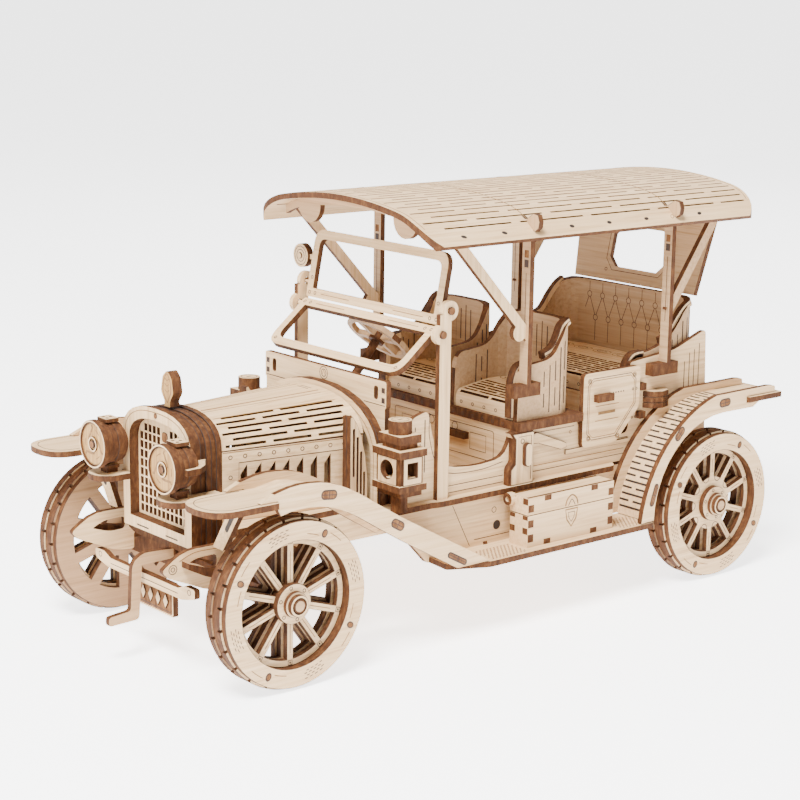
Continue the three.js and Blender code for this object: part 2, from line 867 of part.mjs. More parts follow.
// ---------------------------------------------------------------- windscreen
function screenPost() {
  const y = [SIDE_Y, SIDE_Y + PLY];
  const stem = box([POST_X - 2.4, POST_X + 2.4], y, [FLOOR_TOP, UPPER_PIVOT[1] - 1]);
  const rings = [UPPER_PIVOT, LOWER_PIVOT].map((centre) => bar("y", 3.4, ...y, centre));
  const holes = [UPPER_PIVOT, LOWER_PIVOT].map((centre) =>
    bar("y", 1.4, y[0] - 1, y[1] + 1, centre, 12),
  );
  return cut(join(stem, ...rings), ...holes);
}

// A frame of bars about its pivot, from s = low to high up its own plane, leaning by some degrees.
function screenFrame([x, z], low, high, lean, corners) {
  const ring = new THREE.Shape(
    outline([
      [-SCREEN_HALF, low, corners[0]],
      [SCREEN_HALF, low, corners[0]],
      [SCREEN_HALF, high, corners[1]],
      [-SCREEN_HALF, high, corners[1]],
    ]).getPoints(5),
  );
  const width = 3.2;
  const inner = SCREEN_HALF - width;
  ring.holes.push(
    new THREE.Path(
      outline([
        [-inner, low + width, Math.max(corners[0] - 2, 0.5)],
        [inner, low + width, Math.max(corners[0] - 2, 0.5)],
        [inner, high - width, Math.max(corners[1] - 2, 0.5)],
        [-inner, high - width, Math.max(corners[1] - 2, 0.5)],
      ]).getPoints(5),
    ),
  );
  const geometry = crossGeometry(ring, -PLY / 2, PLY / 2);
  const frame = solid(geometry.rotateY(rad(-lean)).translate(x, 0, z));
  const pins = [-1, 1].map((side) => {
    const ends = [side * (SCREEN_HALF - 1.5), side * (SIDE_Y + PLY + 0.2)].sort((a, b) => a - b);
    return bar("y", 1, ...ends, [x, z], 12);
  });
  return join(frame, ...pins);
}

function upperScreen() {
  const frame = screenFrame(UPPER_PIVOT, -5.4, 18.8, UPPER_LEAN, [1, 5]);
  const stem = box([19.6, 21.6], [-39.5, -SCREEN_HALF + 1], [117.6, 119.4]);
  return join(frame, stem, bar("x", 4.3, 20, 22.6, [-42.3, 118.5], 20));
}

const lowerScreen = () => screenFrame(LOWER_PIVOT, -20.2, 2, LOWER_LEAN, [6, 1]);

// ---------------------------------------------------------------- roof
// The underside of the roof skin from the centre line out to its edge: two tangent arcs.
function roofHalf(raise = 0) {
  const points = [];
  const flat = rad(ROOF_FLAT_ANGLE);
  const edge = rad(ROOF_EDGE_ANGLE);
  const flatRadius = ROOF_FLAT_RADIUS + raise;
  const edgeRadius = ROOF_EDGE_RADIUS + raise;
  const base = ROOF_CREST - ROOF_FLAT_RADIUS;
  for (let i = 0; i <= 5; i += 1) {
    const angle = (flat * i) / 5;
    points.push([flatRadius * Math.sin(angle), base + flatRadius * Math.cos(angle)]);
  }
  const centreY = (ROOF_FLAT_RADIUS - ROOF_EDGE_RADIUS) * Math.sin(flat);
  const centreZ = base + (ROOF_FLAT_RADIUS - ROOF_EDGE_RADIUS) * Math.cos(flat);
  for (let i = 1; i <= 6; i += 1) {
    const angle = flat + ((edge - flat) * i) / 6;
    points.push([centreY + edgeRadius * Math.sin(angle), centreZ + edgeRadius * Math.cos(angle)]);
  }
  return points;
}

function acrossRoof(half) {
  const other = half.slice(1).map(([y, z]) => [-y, z]);
  return [...other.reverse(), ...half];
}

function roofSkin() {
  const under = acrossRoof(roofHalf());
  const over = acrossRoof(roofHalf(PLY)).reverse();
  const skin = crossSheet([...under, ...over], ROOF_BACK, ROOF_FRONT);
  const plan = flatSheet(
    [
      [ROOF_FRONT, -50, 13],
      [ROOF_FRONT, 50, 13],
      [ROOF_BACK, 50, 16],
      [ROOF_BACK, -50, 16],
    ],
    100,
    160,
    6,
  );
  return skin.intersect(plan);
}

// Everything under the roof skin, for trimming what meets it.
function underRoof(gap, x0, x1) {
  const edge = acrossRoof(roofHalf()).map(([y, z]) => [y, z - gap]);
  const last = edge[edge.length - 1];
  return crossSheet([[-last[0], 60], ...edge, [last[0], 60]], x0, x1);
}

// A rib under the skin, on two posts that end in blocks on the body sides.
function roofFrame(x0, postFoot, blockX) {
  const x1 = x0 + PLY;
  const depth = 6;
  const arch = acrossRoof(roofHalf()).filter(([y]) => Math.abs(y) < 42);
  const rib = crossSheet([...arch, ...arch.map(([y, z]) => [y, z - depth]).reverse()], x0, x1);
  const legs = [1, -1].map((side) => {
    const y = [side * SIDE_Y, side * (SIDE_Y + 4)].sort((a, b) => a - b);
    const post = box([x0, x1], y, [postFoot, 136]);
    return post.add(box(blockX, y, [postFoot, postFoot + 4.4]));
  });
  return join(rib, ...legs).intersect(underRoof(0, x0 - 20, x1 + 20));
}

function frontRib() {
  const x = [29, 31];
  const arch = acrossRoof(roofHalf()).filter(([y]) => Math.abs(y) < 42);
  const rib = crossSheet([...arch, ...arch.map(([y, z]) => [y, z - 3]).reverse()], ...x);
  const lobes = [-26, 26].map((y) => bar("x", 6.2, ...x, [y, 139], 20));
  return join(rib, ...lobes).intersect(underRoof(0, ...x));
}

// A diagonal stay in the plane of the posts, between two points in x and z.
function strut(from, to, side = 1) {
  const along = new THREE.Vector2(to[0] - from[0], to[1] - from[1]).normalize();
  const off = [-along.y * 1.8, along.x * 1.8];
  const corner = (p, sign) => [p[0] + sign * off[0], p[1] + sign * off[1]];
  const points = [corner(from, 1), corner(from, -1), corner(to, -1), corner(to, 1)];
  const y = [side * (SIDE_Y + 1), side * (SIDE_Y + 3)].sort((a, b) => a - b);
  return sideSheet(points, ...y).intersect(underRoof(0.05, -130, 60));
}

function frontStrut() {
  const stay = strut([-13, 97], [28, 140.4]);
  const hook = bar("y", 3, SIDE_Y + 1, SIDE_Y + 3, [-8, 99.5], 16);
  return cut(join(stay, hook), box([-20, MIDDLE_FRAME_X + PLY], [30, 50], [60, 130]));
}

// The rear frame carries a stay on each side, up and back to the end of the roof.
function rearRoofFrame() {
  const stays = [1, -1].map((side) => strut([-82, 99.4], [-111, 140.4], side));
  return join(roofFrame(REAR_FRAME_X, 76.4, [-87, -74]), ...stays);
}

// The leaning wall behind the rear seat, with its cut-cornered window.
function rearWall() {
  const lean = 12.2;
  const foot = [-105.6, 101.8];
  const wall = outline(
    bothHalves([
      [31.4, 0],
      [36.4, 46],
    ]),
  );
  const window = bothHalves([
    [10.8, 5.8],
    [14.3, 9.4],
    [14.3, 18.4],
    [10.8, 22],
  ]);
  wall.holes.push(new THREE.Path(window.map(([y, z]) => new THREE.Vector2(y, z))));
  const geometry = crossGeometry(wall, -PLY, 0).rotateY(rad(-lean));
  const sheet = solid(geometry.translate(foot[0], 0, foot[1]));
  return sheet.intersect(underRoof(0.05, -130, -90));
}

// ---------------------------------------------------------------- lamps
function headlight() {
  const drum = join(
    bar("x", 8, 121.2, 123.4, LAMP_CENTRE, 28),
    bar("x", 6.9, 117, 121.3, LAMP_CENTRE, 24),
    bar("x", 5.8, RADIATOR_FRONT + 0.6, 117.1, LAMP_CENTRE, 20),
  );
  const pad = flatSheet(
    [
      [103, RADIATOR_HALF + 0.6],
      [103, 25, 2],
      [112, 27, 3],
      [124, 27, 6],
      [124, 14, 6],
      [RADIATOR_FRONT + 0.4, 14, 2],
      [RADIATOR_FRONT + 0.4, RADIATOR_HALF + 0.6],
    ],
    55.6,
    55.6 + PLY,
  );
  const stem = box([115, 119], [17.5, 23.5], [57, 61.6]);
  const band = flatSheet(
    [
      [101, RADIATOR_HALF + 0.6],
      [101, 29.4, 4],
      [119, 29.4, 3],
      [119, 27],
      [104, 27, 3],
      [104, RADIATOR_HALF + 0.6],
    ],
    66.4,
    66.4 + PLY,
  );
  const bridge = box([114, 117], [24, 28], [66.4, 68.4]);
  return join(drum, pad, stem, band, bridge);
}

function lantern() {
  const at = LANTERN_CENTRE;
  const slab = (sx, sy, z0, z1) =>
    box([at[0] - sx / 2, at[0] + sx / 2], [at[1] - sy / 2, at[1] + sy / 2], [z0, z1]);
  const body = join(
    bar("z", 2.8, FLOOR_TOP, 54.2, at, 12),
    slab(9, 12, 52.2, 54.2),
    slab(11.6, 14, 54, 56.2),
    slab(9.6, 12, 56, 65.6),
    slab(11.6, 14, 65.4, 67.8),
    slab(7.4, 9, 67.6, 69.8),
    slab(9, 11, 69.6, 72.4),
    bar("z", 3.9, 72.2, 76.9, at, 20),
  );
  const chamber = slab(7.2, 9.4, 57.6, 64.6);
  const round = bar("x", 3, at[0], at[0] + 8, [at[1], 61], 16);
  const square = box([at[0] - 2.2, at[0] + 2.2], [at[1], at[1] + 8], [58.4, 63.6]);
  return cut(body, chamber, round, square);
}

// ---------------------------------------------------------------- toolbox
function toolboxPart(z0, z1, hollow) {
  const inside = (range) => [range[0] + PLY, range[1] - PLY];
  const block = box(TOOLBOX_X, TOOLBOX_Y, [z0, z1]);
  return cut(block, box(inside(TOOLBOX_X), inside(TOOLBOX_Y), hollow));
}

const toolboxBody = () =>
  toolboxPart(BOARD_TOP, TOOLBOX_SEAM, [BOARD_TOP + PLY, TOOLBOX_SEAM + 1]);

function toolboxLid() {
  const seam = TOOLBOX_SEAM + FIT;
  const lid = toolboxPart(seam, TOOLBOX_TOP, [seam - 1, TOOLBOX_TOP - PLY]);
  const front = TOOLBOX_X[1];
  const knuckle = bar("x", 2.2, front - 0.5, front + PLY, LID_PIVOT, 20);
  return cut(join(lid, knuckle), bar("x", 0.9, front + 0.3, front + PLY + 1, LID_PIVOT, 12));
}

// ---------------------------------------------------------------- the car
const birch = { color: 0xe6cfa6, roughness: 0.72, metalness: 0, flatShading: true };
const inner = { color: 0xc9a878, roughness: 0.78, metalness: 0, flatShading: true };

const parts = new THREE.Group();
const left = new THREE.Group();
const right = new THREE.Group();
right.scale.y = -1;
parts.add(left, right);

function place(group, name, body, look = birch) {
  const mesh = new THREE.Mesh(geometryOf(body), new THREE.MeshStandardMaterial(look));
  mesh.name = name;
  group.add(mesh);
  return mesh;
}

function placeBothSides(name, body, look) {
  place(left, name + "_left", body, look);
  place(right, name + "_right", body, look);
}

place(parts, "floor_sheet", floorSheet());
place(parts, "front_axle", axle(FRONT_X), inner);
place(parts, "rear_axle", axle(REAR_X), inner);
place(parts, "front_cross_beam", crossBeam());
place(parts, "front_apron", frontApron());
place(parts, "starting_crank", startingCrank(), inner);
place(parts, "radiator_shell", radiatorShell());
place(parts, "radiator_grille", radiatorGrille());
place(parts, "radiator_finial", finial(), inner);
place(parts, "hood", hood());
place(parts, "cowl_hoop", cowlHoop());
place(parts, "cowl_board", cowlBoard());
place(parts, "steering_wheel", steeringWheel(), inner);
place(parts, "front_seat_box", frontSeatBox());
place(parts, "rear_seat_base", rearSeatBase());
place(parts, "rear_seat_shell", rearSeatShell(), inner);
place(parts, "rear_seat_cushion", seatCushion([-103, -66], [-33.4, 33.4], 12));
place(parts, "windscreen_upper", upperScreen());
place(parts, "windscreen_lower", lowerScreen());
place(parts, "roof_skin", roofSkin());
place(parts, "roof_rib_front", frontRib(), inner);
place(parts, "roof_frame_middle", roofFrame(MIDDLE_FRAME_X, 77, [-17.5, -5]), inner);
place(parts, "roof_frame_rear", rearRoofFrame(), inner);
place(parts, "rear_wall", rearWall(), inner);
place(left, "toolbox_body", toolboxBody());
place(left, "toolbox_lid", toolboxLid());

placeBothSides("frame_rail", frameRail());
placeBothSides("running_board", runningBoard());
placeBothSides("front_fender_plate", frontFenderPlate(FENDER_Y));
placeBothSides("front_fender_skin", frontFenderSkin());
placeBothSides("rear_fender_plate", rearFenderPlate(FENDER_Y + 0.2));
placeBothSides("rear_fender_skin", rearFenderSkin());
placeBothSides("body_side", bodySide());
placeBothSides("rear_quarter", rearQuarter());
placeBothSides("rear_door", door());
placeBothSides("front_seat_shell", frontSeatShell(), inner);
placeBothSides("front_seat_cushion", seatCushion([-37.4, -11], [5.4, SIDE_Y - 2.4], 12));
placeBothSides("windscreen_post", screenPost());
placeBothSides("front_strut", frontStrut());
placeBothSides("headlight", headlight());
placeBothSides("lantern", lantern());

const wheelBody = wheel();
for (const [end, x] of [["front", FRONT_X], ["rear", REAR_X]]) {
  for (const [side, group] of [["left", left], ["right", right]]) {
    place(group, `wheel_${end}_${side}`, wheelBody).position.set(x, 0, WHEEL_RADIUS);
  }
}

// Stand the car on the ground with the middle of its box over the origin.
parts.updateMatrixWorld(true);
const bounds = new THREE.Box3().setFromObject(parts);
parts.position.x = -(bounds.min.x + bounds.max.x) / 2;
parts.position.z = -bounds.min.z;

export default parts;
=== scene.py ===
# A laser-cut plywood touring car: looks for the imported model, in metres, in the model's own frame.
# +X is the front of the car, +Y its left side, +Z up, and z = 0 is the ground under the tyres.
import json
import math

import bmesh
import bpy
from mathutils import Matrix, Vector
from mathutils.bvhtree import BVHTree
from mathutils.geometry import tessellate_polygon


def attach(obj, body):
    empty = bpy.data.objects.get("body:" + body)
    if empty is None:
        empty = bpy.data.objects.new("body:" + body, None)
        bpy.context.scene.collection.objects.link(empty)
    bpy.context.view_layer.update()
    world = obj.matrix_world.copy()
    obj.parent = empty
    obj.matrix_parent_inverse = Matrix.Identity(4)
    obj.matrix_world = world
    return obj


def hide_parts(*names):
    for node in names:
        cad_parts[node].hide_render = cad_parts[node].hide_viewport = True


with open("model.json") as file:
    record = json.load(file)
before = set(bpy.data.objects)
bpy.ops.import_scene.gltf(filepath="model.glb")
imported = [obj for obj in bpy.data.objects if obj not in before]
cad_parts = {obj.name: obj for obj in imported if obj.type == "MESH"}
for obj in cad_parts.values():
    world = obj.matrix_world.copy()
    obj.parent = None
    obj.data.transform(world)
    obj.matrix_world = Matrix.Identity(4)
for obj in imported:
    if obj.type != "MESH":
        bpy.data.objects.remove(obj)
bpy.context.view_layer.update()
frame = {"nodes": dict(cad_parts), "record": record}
NODES = frame["nodes"]
BODY_OF = {node: body for body, nodes in frame["record"]["behaviour"]["bodies"].items() for node in nodes}

MM = 0.001
SHEET = 2  # thickness of the plywood, in millimetres
SHIFT = -1.3 * MM  # the middle of the wheelbase, from the middle of the car's box
CHAR_WIDTH = 0.24 * MM  # width of the scorched line round every laser-cut face
HANDS = {"left": 1, "right": -1}
BOTH = (1, -1)


def at(x, y, z):
    """A point given in millimetres from the middle of the wheelbase, in the model's frame."""
    return Vector((x * MM + SHIFT, y * MM, z * MM))


# ---------------------------------------------------------------- camera
CAMERA_PLACE = Vector((0.44597, 0.52251, 0.22172))
CAMERA_AZIMUTH = math.radians(140.10)
CAMERA_ELEVATION = math.radians(12.46)
CAMERA_ROLL = math.radians(0.84)
CAMERA_LENS = 89.07


def add_camera():
    data = bpy.data.cameras.new("camera")
    data.lens = CAMERA_LENS
    data.sensor_width = 36
    data.clip_start = 0.01
    data.clip_end = 20
    camera = bpy.data.objects.new("camera", data)
    bpy.context.scene.collection.objects.link(camera)
    a, e = CAMERA_AZIMUTH, CAMERA_ELEVATION
    back = Vector((math.sin(a) * math.cos(e), -math.cos(a) * math.cos(e), math.sin(e)))
    right = (-back).cross(Vector((0, 0, 1))).normalized()
    up = right.cross(-back)
    rolled_right = right * math.cos(CAMERA_ROLL) + up * math.sin(CAMERA_ROLL)
    rolled_up = up * math.cos(CAMERA_ROLL) - right * math.sin(CAMERA_ROLL)
    turn = Matrix((rolled_right, rolled_up, back)).transposed()
    camera.matrix_world = Matrix.Translation(CAMERA_PLACE) @ turn.to_4x4()
    bpy.context.scene.camera = camera


# ---------------------------------------------------------------- materials
class Shader:
    """A material being built: makes nodes and links them."""

    def __init__(self, name):
        self.material = bpy.data.materials.new(name)
        self.material.use_nodes = True
        self.tree = self.material.node_tree
        self.tree.nodes.clear()
        self.surface = self.node("ShaderNodeBsdfPrincipled")
        output = self.node("ShaderNodeOutputMaterial")
        self.link(self.surface.outputs[0], output.inputs[0])

    def node(self, kind, **values):
        made = self.tree.nodes.new(kind)
        for name, value in values.items():
            socket = made.inputs.get(name.replace("_", " "))
            if socket is None:
                setattr(made, name, value)
            else:
                socket.default_value = value
        return made

    def link(self, source, target):
        self.tree.links.new(source, target)

    def place(self, scale):
        """Object coordinates, stretched; a small scale is long along that axis."""
        coordinates = self.node("ShaderNodeTexCoord")
        mapping = self.node("ShaderNodeMapping")
        mapping.inputs["Scale"].default_value = scale
        self.link(coordinates.outputs["Object"], mapping.inputs["Vector"])
        return mapping.outputs[0]

    def noise(self, vector, scale=1.0, detail=4.0, roughness=0.55, distortion=0.0):
        made = self.node("ShaderNodeTexNoise", Scale=scale, Detail=detail)
        made.inputs["Roughness"].default_value = roughness
        made.inputs["Distortion"].default_value = distortion
        self.link(vector, made.inputs["Vector"])
        return made.outputs["Fac"]

    def ramp(self, value, stops):
        made = self.node("ShaderNodeValToRGB")
        elements = made.color_ramp.elements
        while len(elements) < len(stops):
            elements.new(0.5)
        for element, (place, colour) in zip(elements, stops):
            element.position = place
            element.color = (*colour, 1)
        self.link(value, made.inputs[0])
        return made.outputs[0]

    def mix(self, share, a, b, blend="MIX"):
        made = self.node("ShaderNodeMix", data_type="RGBA", blend_type=blend)
        for socket, value in ((made.inputs[0], share), (made.inputs[6], a), (made.inputs[7], b)):
            if isinstance(value, bpy.types.NodeSocket):
                self.link(value, socket)
            elif socket.type == "RGBA":
                socket.default_value = (*value, 1)
            else:
                socket.default_value = value
        return made.outputs[2]

    def bump(self, height, strength, distance):
        made = self.node("ShaderNodeBump", Strength=strength, Distance=distance)
        self.link(height, made.inputs["Height"])
        self.link(made.outputs[0], self.surface.inputs["Normal"])

    def finish(self, colour, roughness, specular=0.5):
        """Link the colour and set what is the same all over the surface."""
        self.link(colour, self.surface.inputs["Base Color"])
        self.surface.inputs["Roughness"].default_value = roughness
        self.surface.inputs["Specular IOR Level"].default_value = specular
        return self.material


BIRCH_LIGHT = (0.68, 0.48, 0.275)
BIRCH_MID = (0.57, 0.375, 0.195)
BIRCH_DARK = (0.41, 0.24, 0.11)
# Grain tones of the shaded tan, a darker copy of the birch that paints shade.
SHADED_TAN_LIGHT = (0.46, 0.295, 0.16)
SHADED_TAN_MID = (0.385, 0.235, 0.118)
SHADED_TAN_DARK = (0.29, 0.165, 0.075)
CHAR_LIGHT = (0.150, 0.062, 0.020)
CHAR_MID = (0.075, 0.026, 0.0075)
CHAR_DARK = (0.034, 0.012, 0.004)
GOLD = (0.24, 0.115, 0.026)
FLOOR_GLOW = 2.9
FLOOR_WIDTH = 40
FLOOR_HEIGHT = -0.0002
WORLD_LIGHT = 0.6

ALONG = {"x": (30, 900, 900), "y": (900, 30, 900), "z": (900, 900, 30)}


def face_material(name, along, light, mid, dark):
    """Sanded birch veneer: long faint streaks along the grain, pores, and slow colour change."""
    s = Shader(name)
    streaks = s.noise(s.place(ALONG[along]), 1.0, 5, 0.6, 0.4)
    slow = s.noise(s.place((25, 25, 25)), 1.0, 2, 0.5)
    pores = s.noise(s.place(tuple(3 * v for v in ALONG[along])), 1.0, 3, 0.7)
    grain = s.ramp(streaks, [(0.30, dark), (0.46, mid), (0.68, light)])
    tinted = s.mix(s.ramp(slow, [(0.35, (0, 0, 0)), (0.7, (0.45, 0.45, 0.45))]), grain, mid)
    speck = s.ramp(pores, [(0.30, (0.80, 0.74, 0.66)), (0.42, (1, 1, 1))])
    colour = s.mix(0.5, tinted, speck, "MULTIPLY")
    s.bump(pores, 0.25, 0.00006)
    return s.finish(colour, 0.62, 0.32)


def edge_material(name, light, mid, dark):
    """A laser-cut edge: scorched brown, with blotches of burn and the fine steps of the cut."""
    s = Shader(name)
    blotch = s.noise(s.place((620, 620, 240)), 1.0, 4, 0.6)
    fine = s.noise(s.place((2200, 2200, 700)), 1.0, 2, 0.5)
    burn = s.ramp(blotch, [(0.28, dark), (0.50, mid), (0.75, light)])
    colour = s.mix(s.ramp(fine, [(0.35, (0.35, 0.35, 0.35)), (0.65, (0, 0, 0))]), burn, dark)
    s.bump(fine, 0.4, 0.0001)
    return s.finish(colour, 0.78, 0.2)


def line_material(name, colour, deep):
    """Engraved or scored wood: the burnt colour, uneven along the line; slit_shade uses it for the painted
    shade seen in slits and holes.
    """
    s = Shader(name)
    mottle = s.noise(s.place((600, 600, 600)), 1.0, 3, 0.6)
    return s.finish(s.ramp(mottle, [(0.3, deep), (0.7, colour)]), 0.7)


def floor_material():
    """A pale floor that gives off light itself, so that it reads nearly white in the picture."""
    s = Shader("studio_floor")
    tone = s.noise(s.place((3, 3, 3)), 1.0, 2, 0.5)
    s.surface.inputs["Emission Color"].default_value = (1, 1, 1, 1)
    s.surface.inputs["Emission Strength"].default_value = FLOOR_GLOW
    return s.finish(s.ramp(tone, [(0, (0.93, 0.93, 0.93)), (1, (0.96, 0.96, 0.96))]), 0.9)


FACE = {a: face_material("birch_face_" + a, a, BIRCH_LIGHT, BIRCH_MID, BIRCH_DARK) for a in "xyz"}
# Painted shade: darker tan copies of the birch faces for the pieces inside and under the car (the tan_ply
# slot), also laid on the axles' dowel ends and the tabs under the roof.
SHADED_TAN = {a: face_material("shaded_tan_face_" + a, a, SHADED_TAN_LIGHT, SHADED_TAN_MID, SHADED_TAN_DARK) for a in "xyz"}
GILT = face_material("gilt_face", "z", (0.46, 0.27, 0.095), (0.33, 0.175, 0.05), (0.20, 0.095, 0.024))
# A darker copy of the birch: painted shade for the inner sheets of the wheels, which sit under the body.
PAINTED_SHADE_FACE = face_material("painted_shade_face", "x", (0.36, 0.215, 0.11), (0.29, 0.165, 0.08), (0.21, 0.115, 0.05))
EDGE = edge_material("scorched_edge", CHAR_LIGHT, CHAR_MID, CHAR_DARK)
SOFT_EDGE = edge_material("toasted_edge", (0.30, 0.14, 0.05), (0.17, 0.07, 0.024), (0.06, 0.022, 0.008))
CHAR = line_material("char_line", (0.04, 0.015, 0.006), (0.014, 0.006, 0.003))
SCORED = line_material("scored_line", GOLD, (0.11, 0.048, 0.012))
# Painted shade: the dark that shows inside slits and holes that are drawn on a face, not cut.
SLIT_SHADE = line_material("slit_shade", (0.022, 0.009, 0.004), (0.008, 0.004, 0.002))

# ---------------------------------------------------------------- pieces kept from the model
FACE_DEPTH = 2.35 * MM  # a surface with less wood than this behind it is a sheet's face
SHADED_TAN_NODES = {part["node"] for part in frame["record"]["subparts"] if part["material_slot"] == "tan_ply"}


def thin_faces(mesh):
    """For each polygon, True where the wood behind it is one sheet thick."""
    tree = BVHTree.FromPolygons([v.co for v in mesh.vertices], [p.vertices[:] for p in mesh.polygons])
    regions = {}
    for polygon in mesh.polygons:
        normal = polygon.normal
        key = (*(round(v, 2) for v in normal), round(polygon.center.dot(normal), 4))
        hit = tree.ray_cast(polygon.center - normal * 1e-5, -normal, 0.05)
        depth = hit[3] if hit[3] is not None else 0.05
        regions.setdefault(key, []).append((polygon.index, polygon.area, depth))
    thin = [False] * len(mesh.polygons)
    for members in regions.values():
        area = sum(m[1] for m in members)
        shallow = sum(m[1] for m in members if m[2] < FACE_DEPTH)
        for index, _, _ in members:
            thin[index] = shallow > 0.5 * area
    return thin


def grain_axis(mesh):
    """The axis of the mesh's longest extent, which its veneer's grain follows."""
    size = [max(v.co[i] for v in mesh.vertices) - min(v.co[i] for v in mesh.vertices) for i in range(3)]
    return "xyz"[size.index(max(size))]


# Laminated nodes, whose sheets are glued face to face, and the axis that their faces look along.
LAMINATED = {"radiator_shell": "x", "radiator_finial": "x", "cowl_hoop": "x", "front_cross_beam": "x",
             "windscreen_upper": "x", "lantern_left": "z", "lantern_right": "z"}


def dress(name):
    """Give a kept node veneered faces, scorched edges and a dark line round each face."""
    node = NODES[name]
    mesh = node.data
    # Pieces in the tan_ply slot take the shaded tan copy: painted shade.
    palette = SHADED_TAN if name in SHADED_TAN_NODES else FACE
    mesh.materials.clear()
    for material in (palette[grain_axis(mesh)], EDGE, CHAR):
        mesh.materials.append(material)
    if name in LAMINATED:
        axis = "xyz".index(LAMINATED[name])
        places = [v.co[axis] for v in mesh.vertices]
        ends = (min(places) + 1.2 * MM, max(places) - 1.2 * MM)
        outer_only = name in ("radiator_shell", "cowl_hoop")
        thin = [abs(p.normal[axis]) > 0.9 and (not outer_only or not ends[0] < p.center[axis] < ends[1])
                for p in mesh.polygons]
    elif "seat_shell" in name:
        front_end = max(v.co.x for v in mesh.vertices) - 0.3 * MM
        thin = [abs(p.normal.z) < 0.5 and not (p.normal.x > 0.9 and p.center.x > front_end)
                for p in mesh.polygons]
    else:
        thin = thin_faces(mesh)
    for polygon in mesh.polygons:
        polygon.material_index = 0 if thin[polygon.index] else 1
        polygon.use_smooth = True
    flat = node.modifiers.new("flat", "DECIMATE")
    flat.decimate_type = "DISSOLVE"
    flat.angle_limit = math.radians(0.6)
    flat.delimit = {"MATERIAL"}
    bevel = node.modifiers.new("scorch", "BEVEL")
    bevel.width = CHAR_WIDTH
    bevel.segments = 1
    bevel.limit_method = "ANGLE"
    bevel.angle_limit = math.radians(38)
    bevel.use_clamp_overlap = False
    bevel.material = 2
    bevel.harden_normals = False
    mesh.set_sharp_from_angle(angle=math.radians(34))


# ---------------------------------------------------------------- new pieces
class Build:
    """A mesh being made: closed shells with a material for each face."""

    def __init__(self):
        self.points = []
        self.faces = []
        self.looks = []
        self.materials = []

    def look(self, material):
        if material not in self.materials:
            self.materials.append(material)
        return self.materials.index(material)

    def add(self, points, faces, materials):
        """Add points and faces; materials is one material, or one for each face."""
        start = len(self.points)
        self.points.extend(Vector(p) for p in points)
        if isinstance(materials, bpy.types.Material):
            materials = [materials] * len(faces)
        for face, material in zip(faces, materials):
            self.faces.append([start + i for i in face])
            self.looks.append(self.look(material))

    def block(self, low, high, material):
        """A box between two corners, in millimetres."""
        xs, ys, zs = zip(low, high)
        points = [at(x, y, z) for x in xs for y in ys for z in zs]
        faces = [(0, 1, 3, 2), (4, 6, 7, 5), (0, 4, 5, 1), (2, 3, 7, 6), (0, 2, 6, 4), (1, 5, 7, 3)]
        self.add(points, faces, material)

    def finish(self, name, body="car", slot="birch_ply", replaced=(), smooth=30):
        mesh = bpy.data.meshes.new(name)
        mesh.from_pydata(self.points, [], self.faces)
        for material in self.materials:
            mesh.materials.append(material)
        for polygon, look in zip(mesh.polygons, self.looks):
            polygon.material_index = look
            polygon.use_smooth = True
        shells = bmesh.new()
        shells.from_mesh(mesh)
        bmesh.ops.recalc_face_normals(shells, faces=shells.faces)
        shells.to_mesh(mesh)
        shells.free()
        mesh.set_sharp_from_angle(angle=math.radians(smooth))
        made = bpy.data.objects.new(name, mesh)
        bpy.context.scene.collection.objects.link(made)
        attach(made, body)
        if replaced:
            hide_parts(*replaced)
        return made


def area_of(loop):
    return 0.5 * sum(a[0] * b[1] - b[0] * a[1] for a, b in zip(loop, loop[1:] + loop[:1]))


def turned(loop, anticlockwise=True):
    return list(loop) if (area_of(loop) > 0) == anticlockwise else list(loop)[::-1]


def shrink(loop, inset):
    """The loop moved to its left by an inset, corners mitred; anticlockwise loops get smaller."""
    made = []
    count = len(loop)
    for i in range(count):
        a, b, c = (Vector(loop[(i + k) % count]) for k in (-1, 0, 1))
        u, v = (b - a).normalized(), (c - b).normalized()
        n = Vector((-u.y - v.y, u.x + v.x))
        scale = max(n.length_squared / 2, 0.35)
        made.append(tuple(b + n * (inset / scale)))
    return made


def plate(build, loops, depth, place, face=FACE["x"], edge=EDGE, rim=0.16):
    """A flat sheet with holes. loops (outer first) are in millimetres in the sheet's own plane;
    place turns (u, v, w) into a point in millimetres, with w from 0 to depth through the sheet."""
    loops = [turned(loop, i == 0) for i, loop in enumerate(loops)]
    inner = [shrink(loop, rim) for loop in loops]
    chamfer = rim * 0.6
    levels = [(inner, 0), (loops, chamfer), (loops, depth - chamfer), (inner, depth)]
    points, starts = [], []
    for rings, w in levels:
        starts.append(len(points))
        for ring in rings:
            points.extend(at(*place(u, v, w)) for u, v in ring)
    faces, looks = [], []
    offset = 0
    for ring in loops:
        n = len(ring)
        for level in range(3):
            low, high = starts[level] + offset, starts[level + 1] + offset
            for i in range(n):
                j = (i + 1) % n
                faces.append((low + i, low + j, high + j, high + i))
                looks.append(edge if level == 1 else CHAR)
        offset += n
    triangles = tessellate_polygon([[Vector((u, v, 0)) for u, v in ring] for ring in inner])
    flat = [p for ring in inner for p in ring]
    for a, b, c in triangles:
        if area_of([flat[a], flat[b], flat[c]]) < 0:
            a, b = b, a
        faces.append((starts[3] + a, starts[3] + b, starts[3] + c))
        looks.append(face)
        faces.append((starts[0] + a, starts[0] + c, starts[0] + b))
        looks.append(face)
    build.add(points, faces, looks)


def circle(u, v, radius, sides=32):
    turns = [math.tau * i / sides for i in range(sides)]
    return [(u + radius * math.cos(a), v + radius * math.sin(a)) for a in turns]


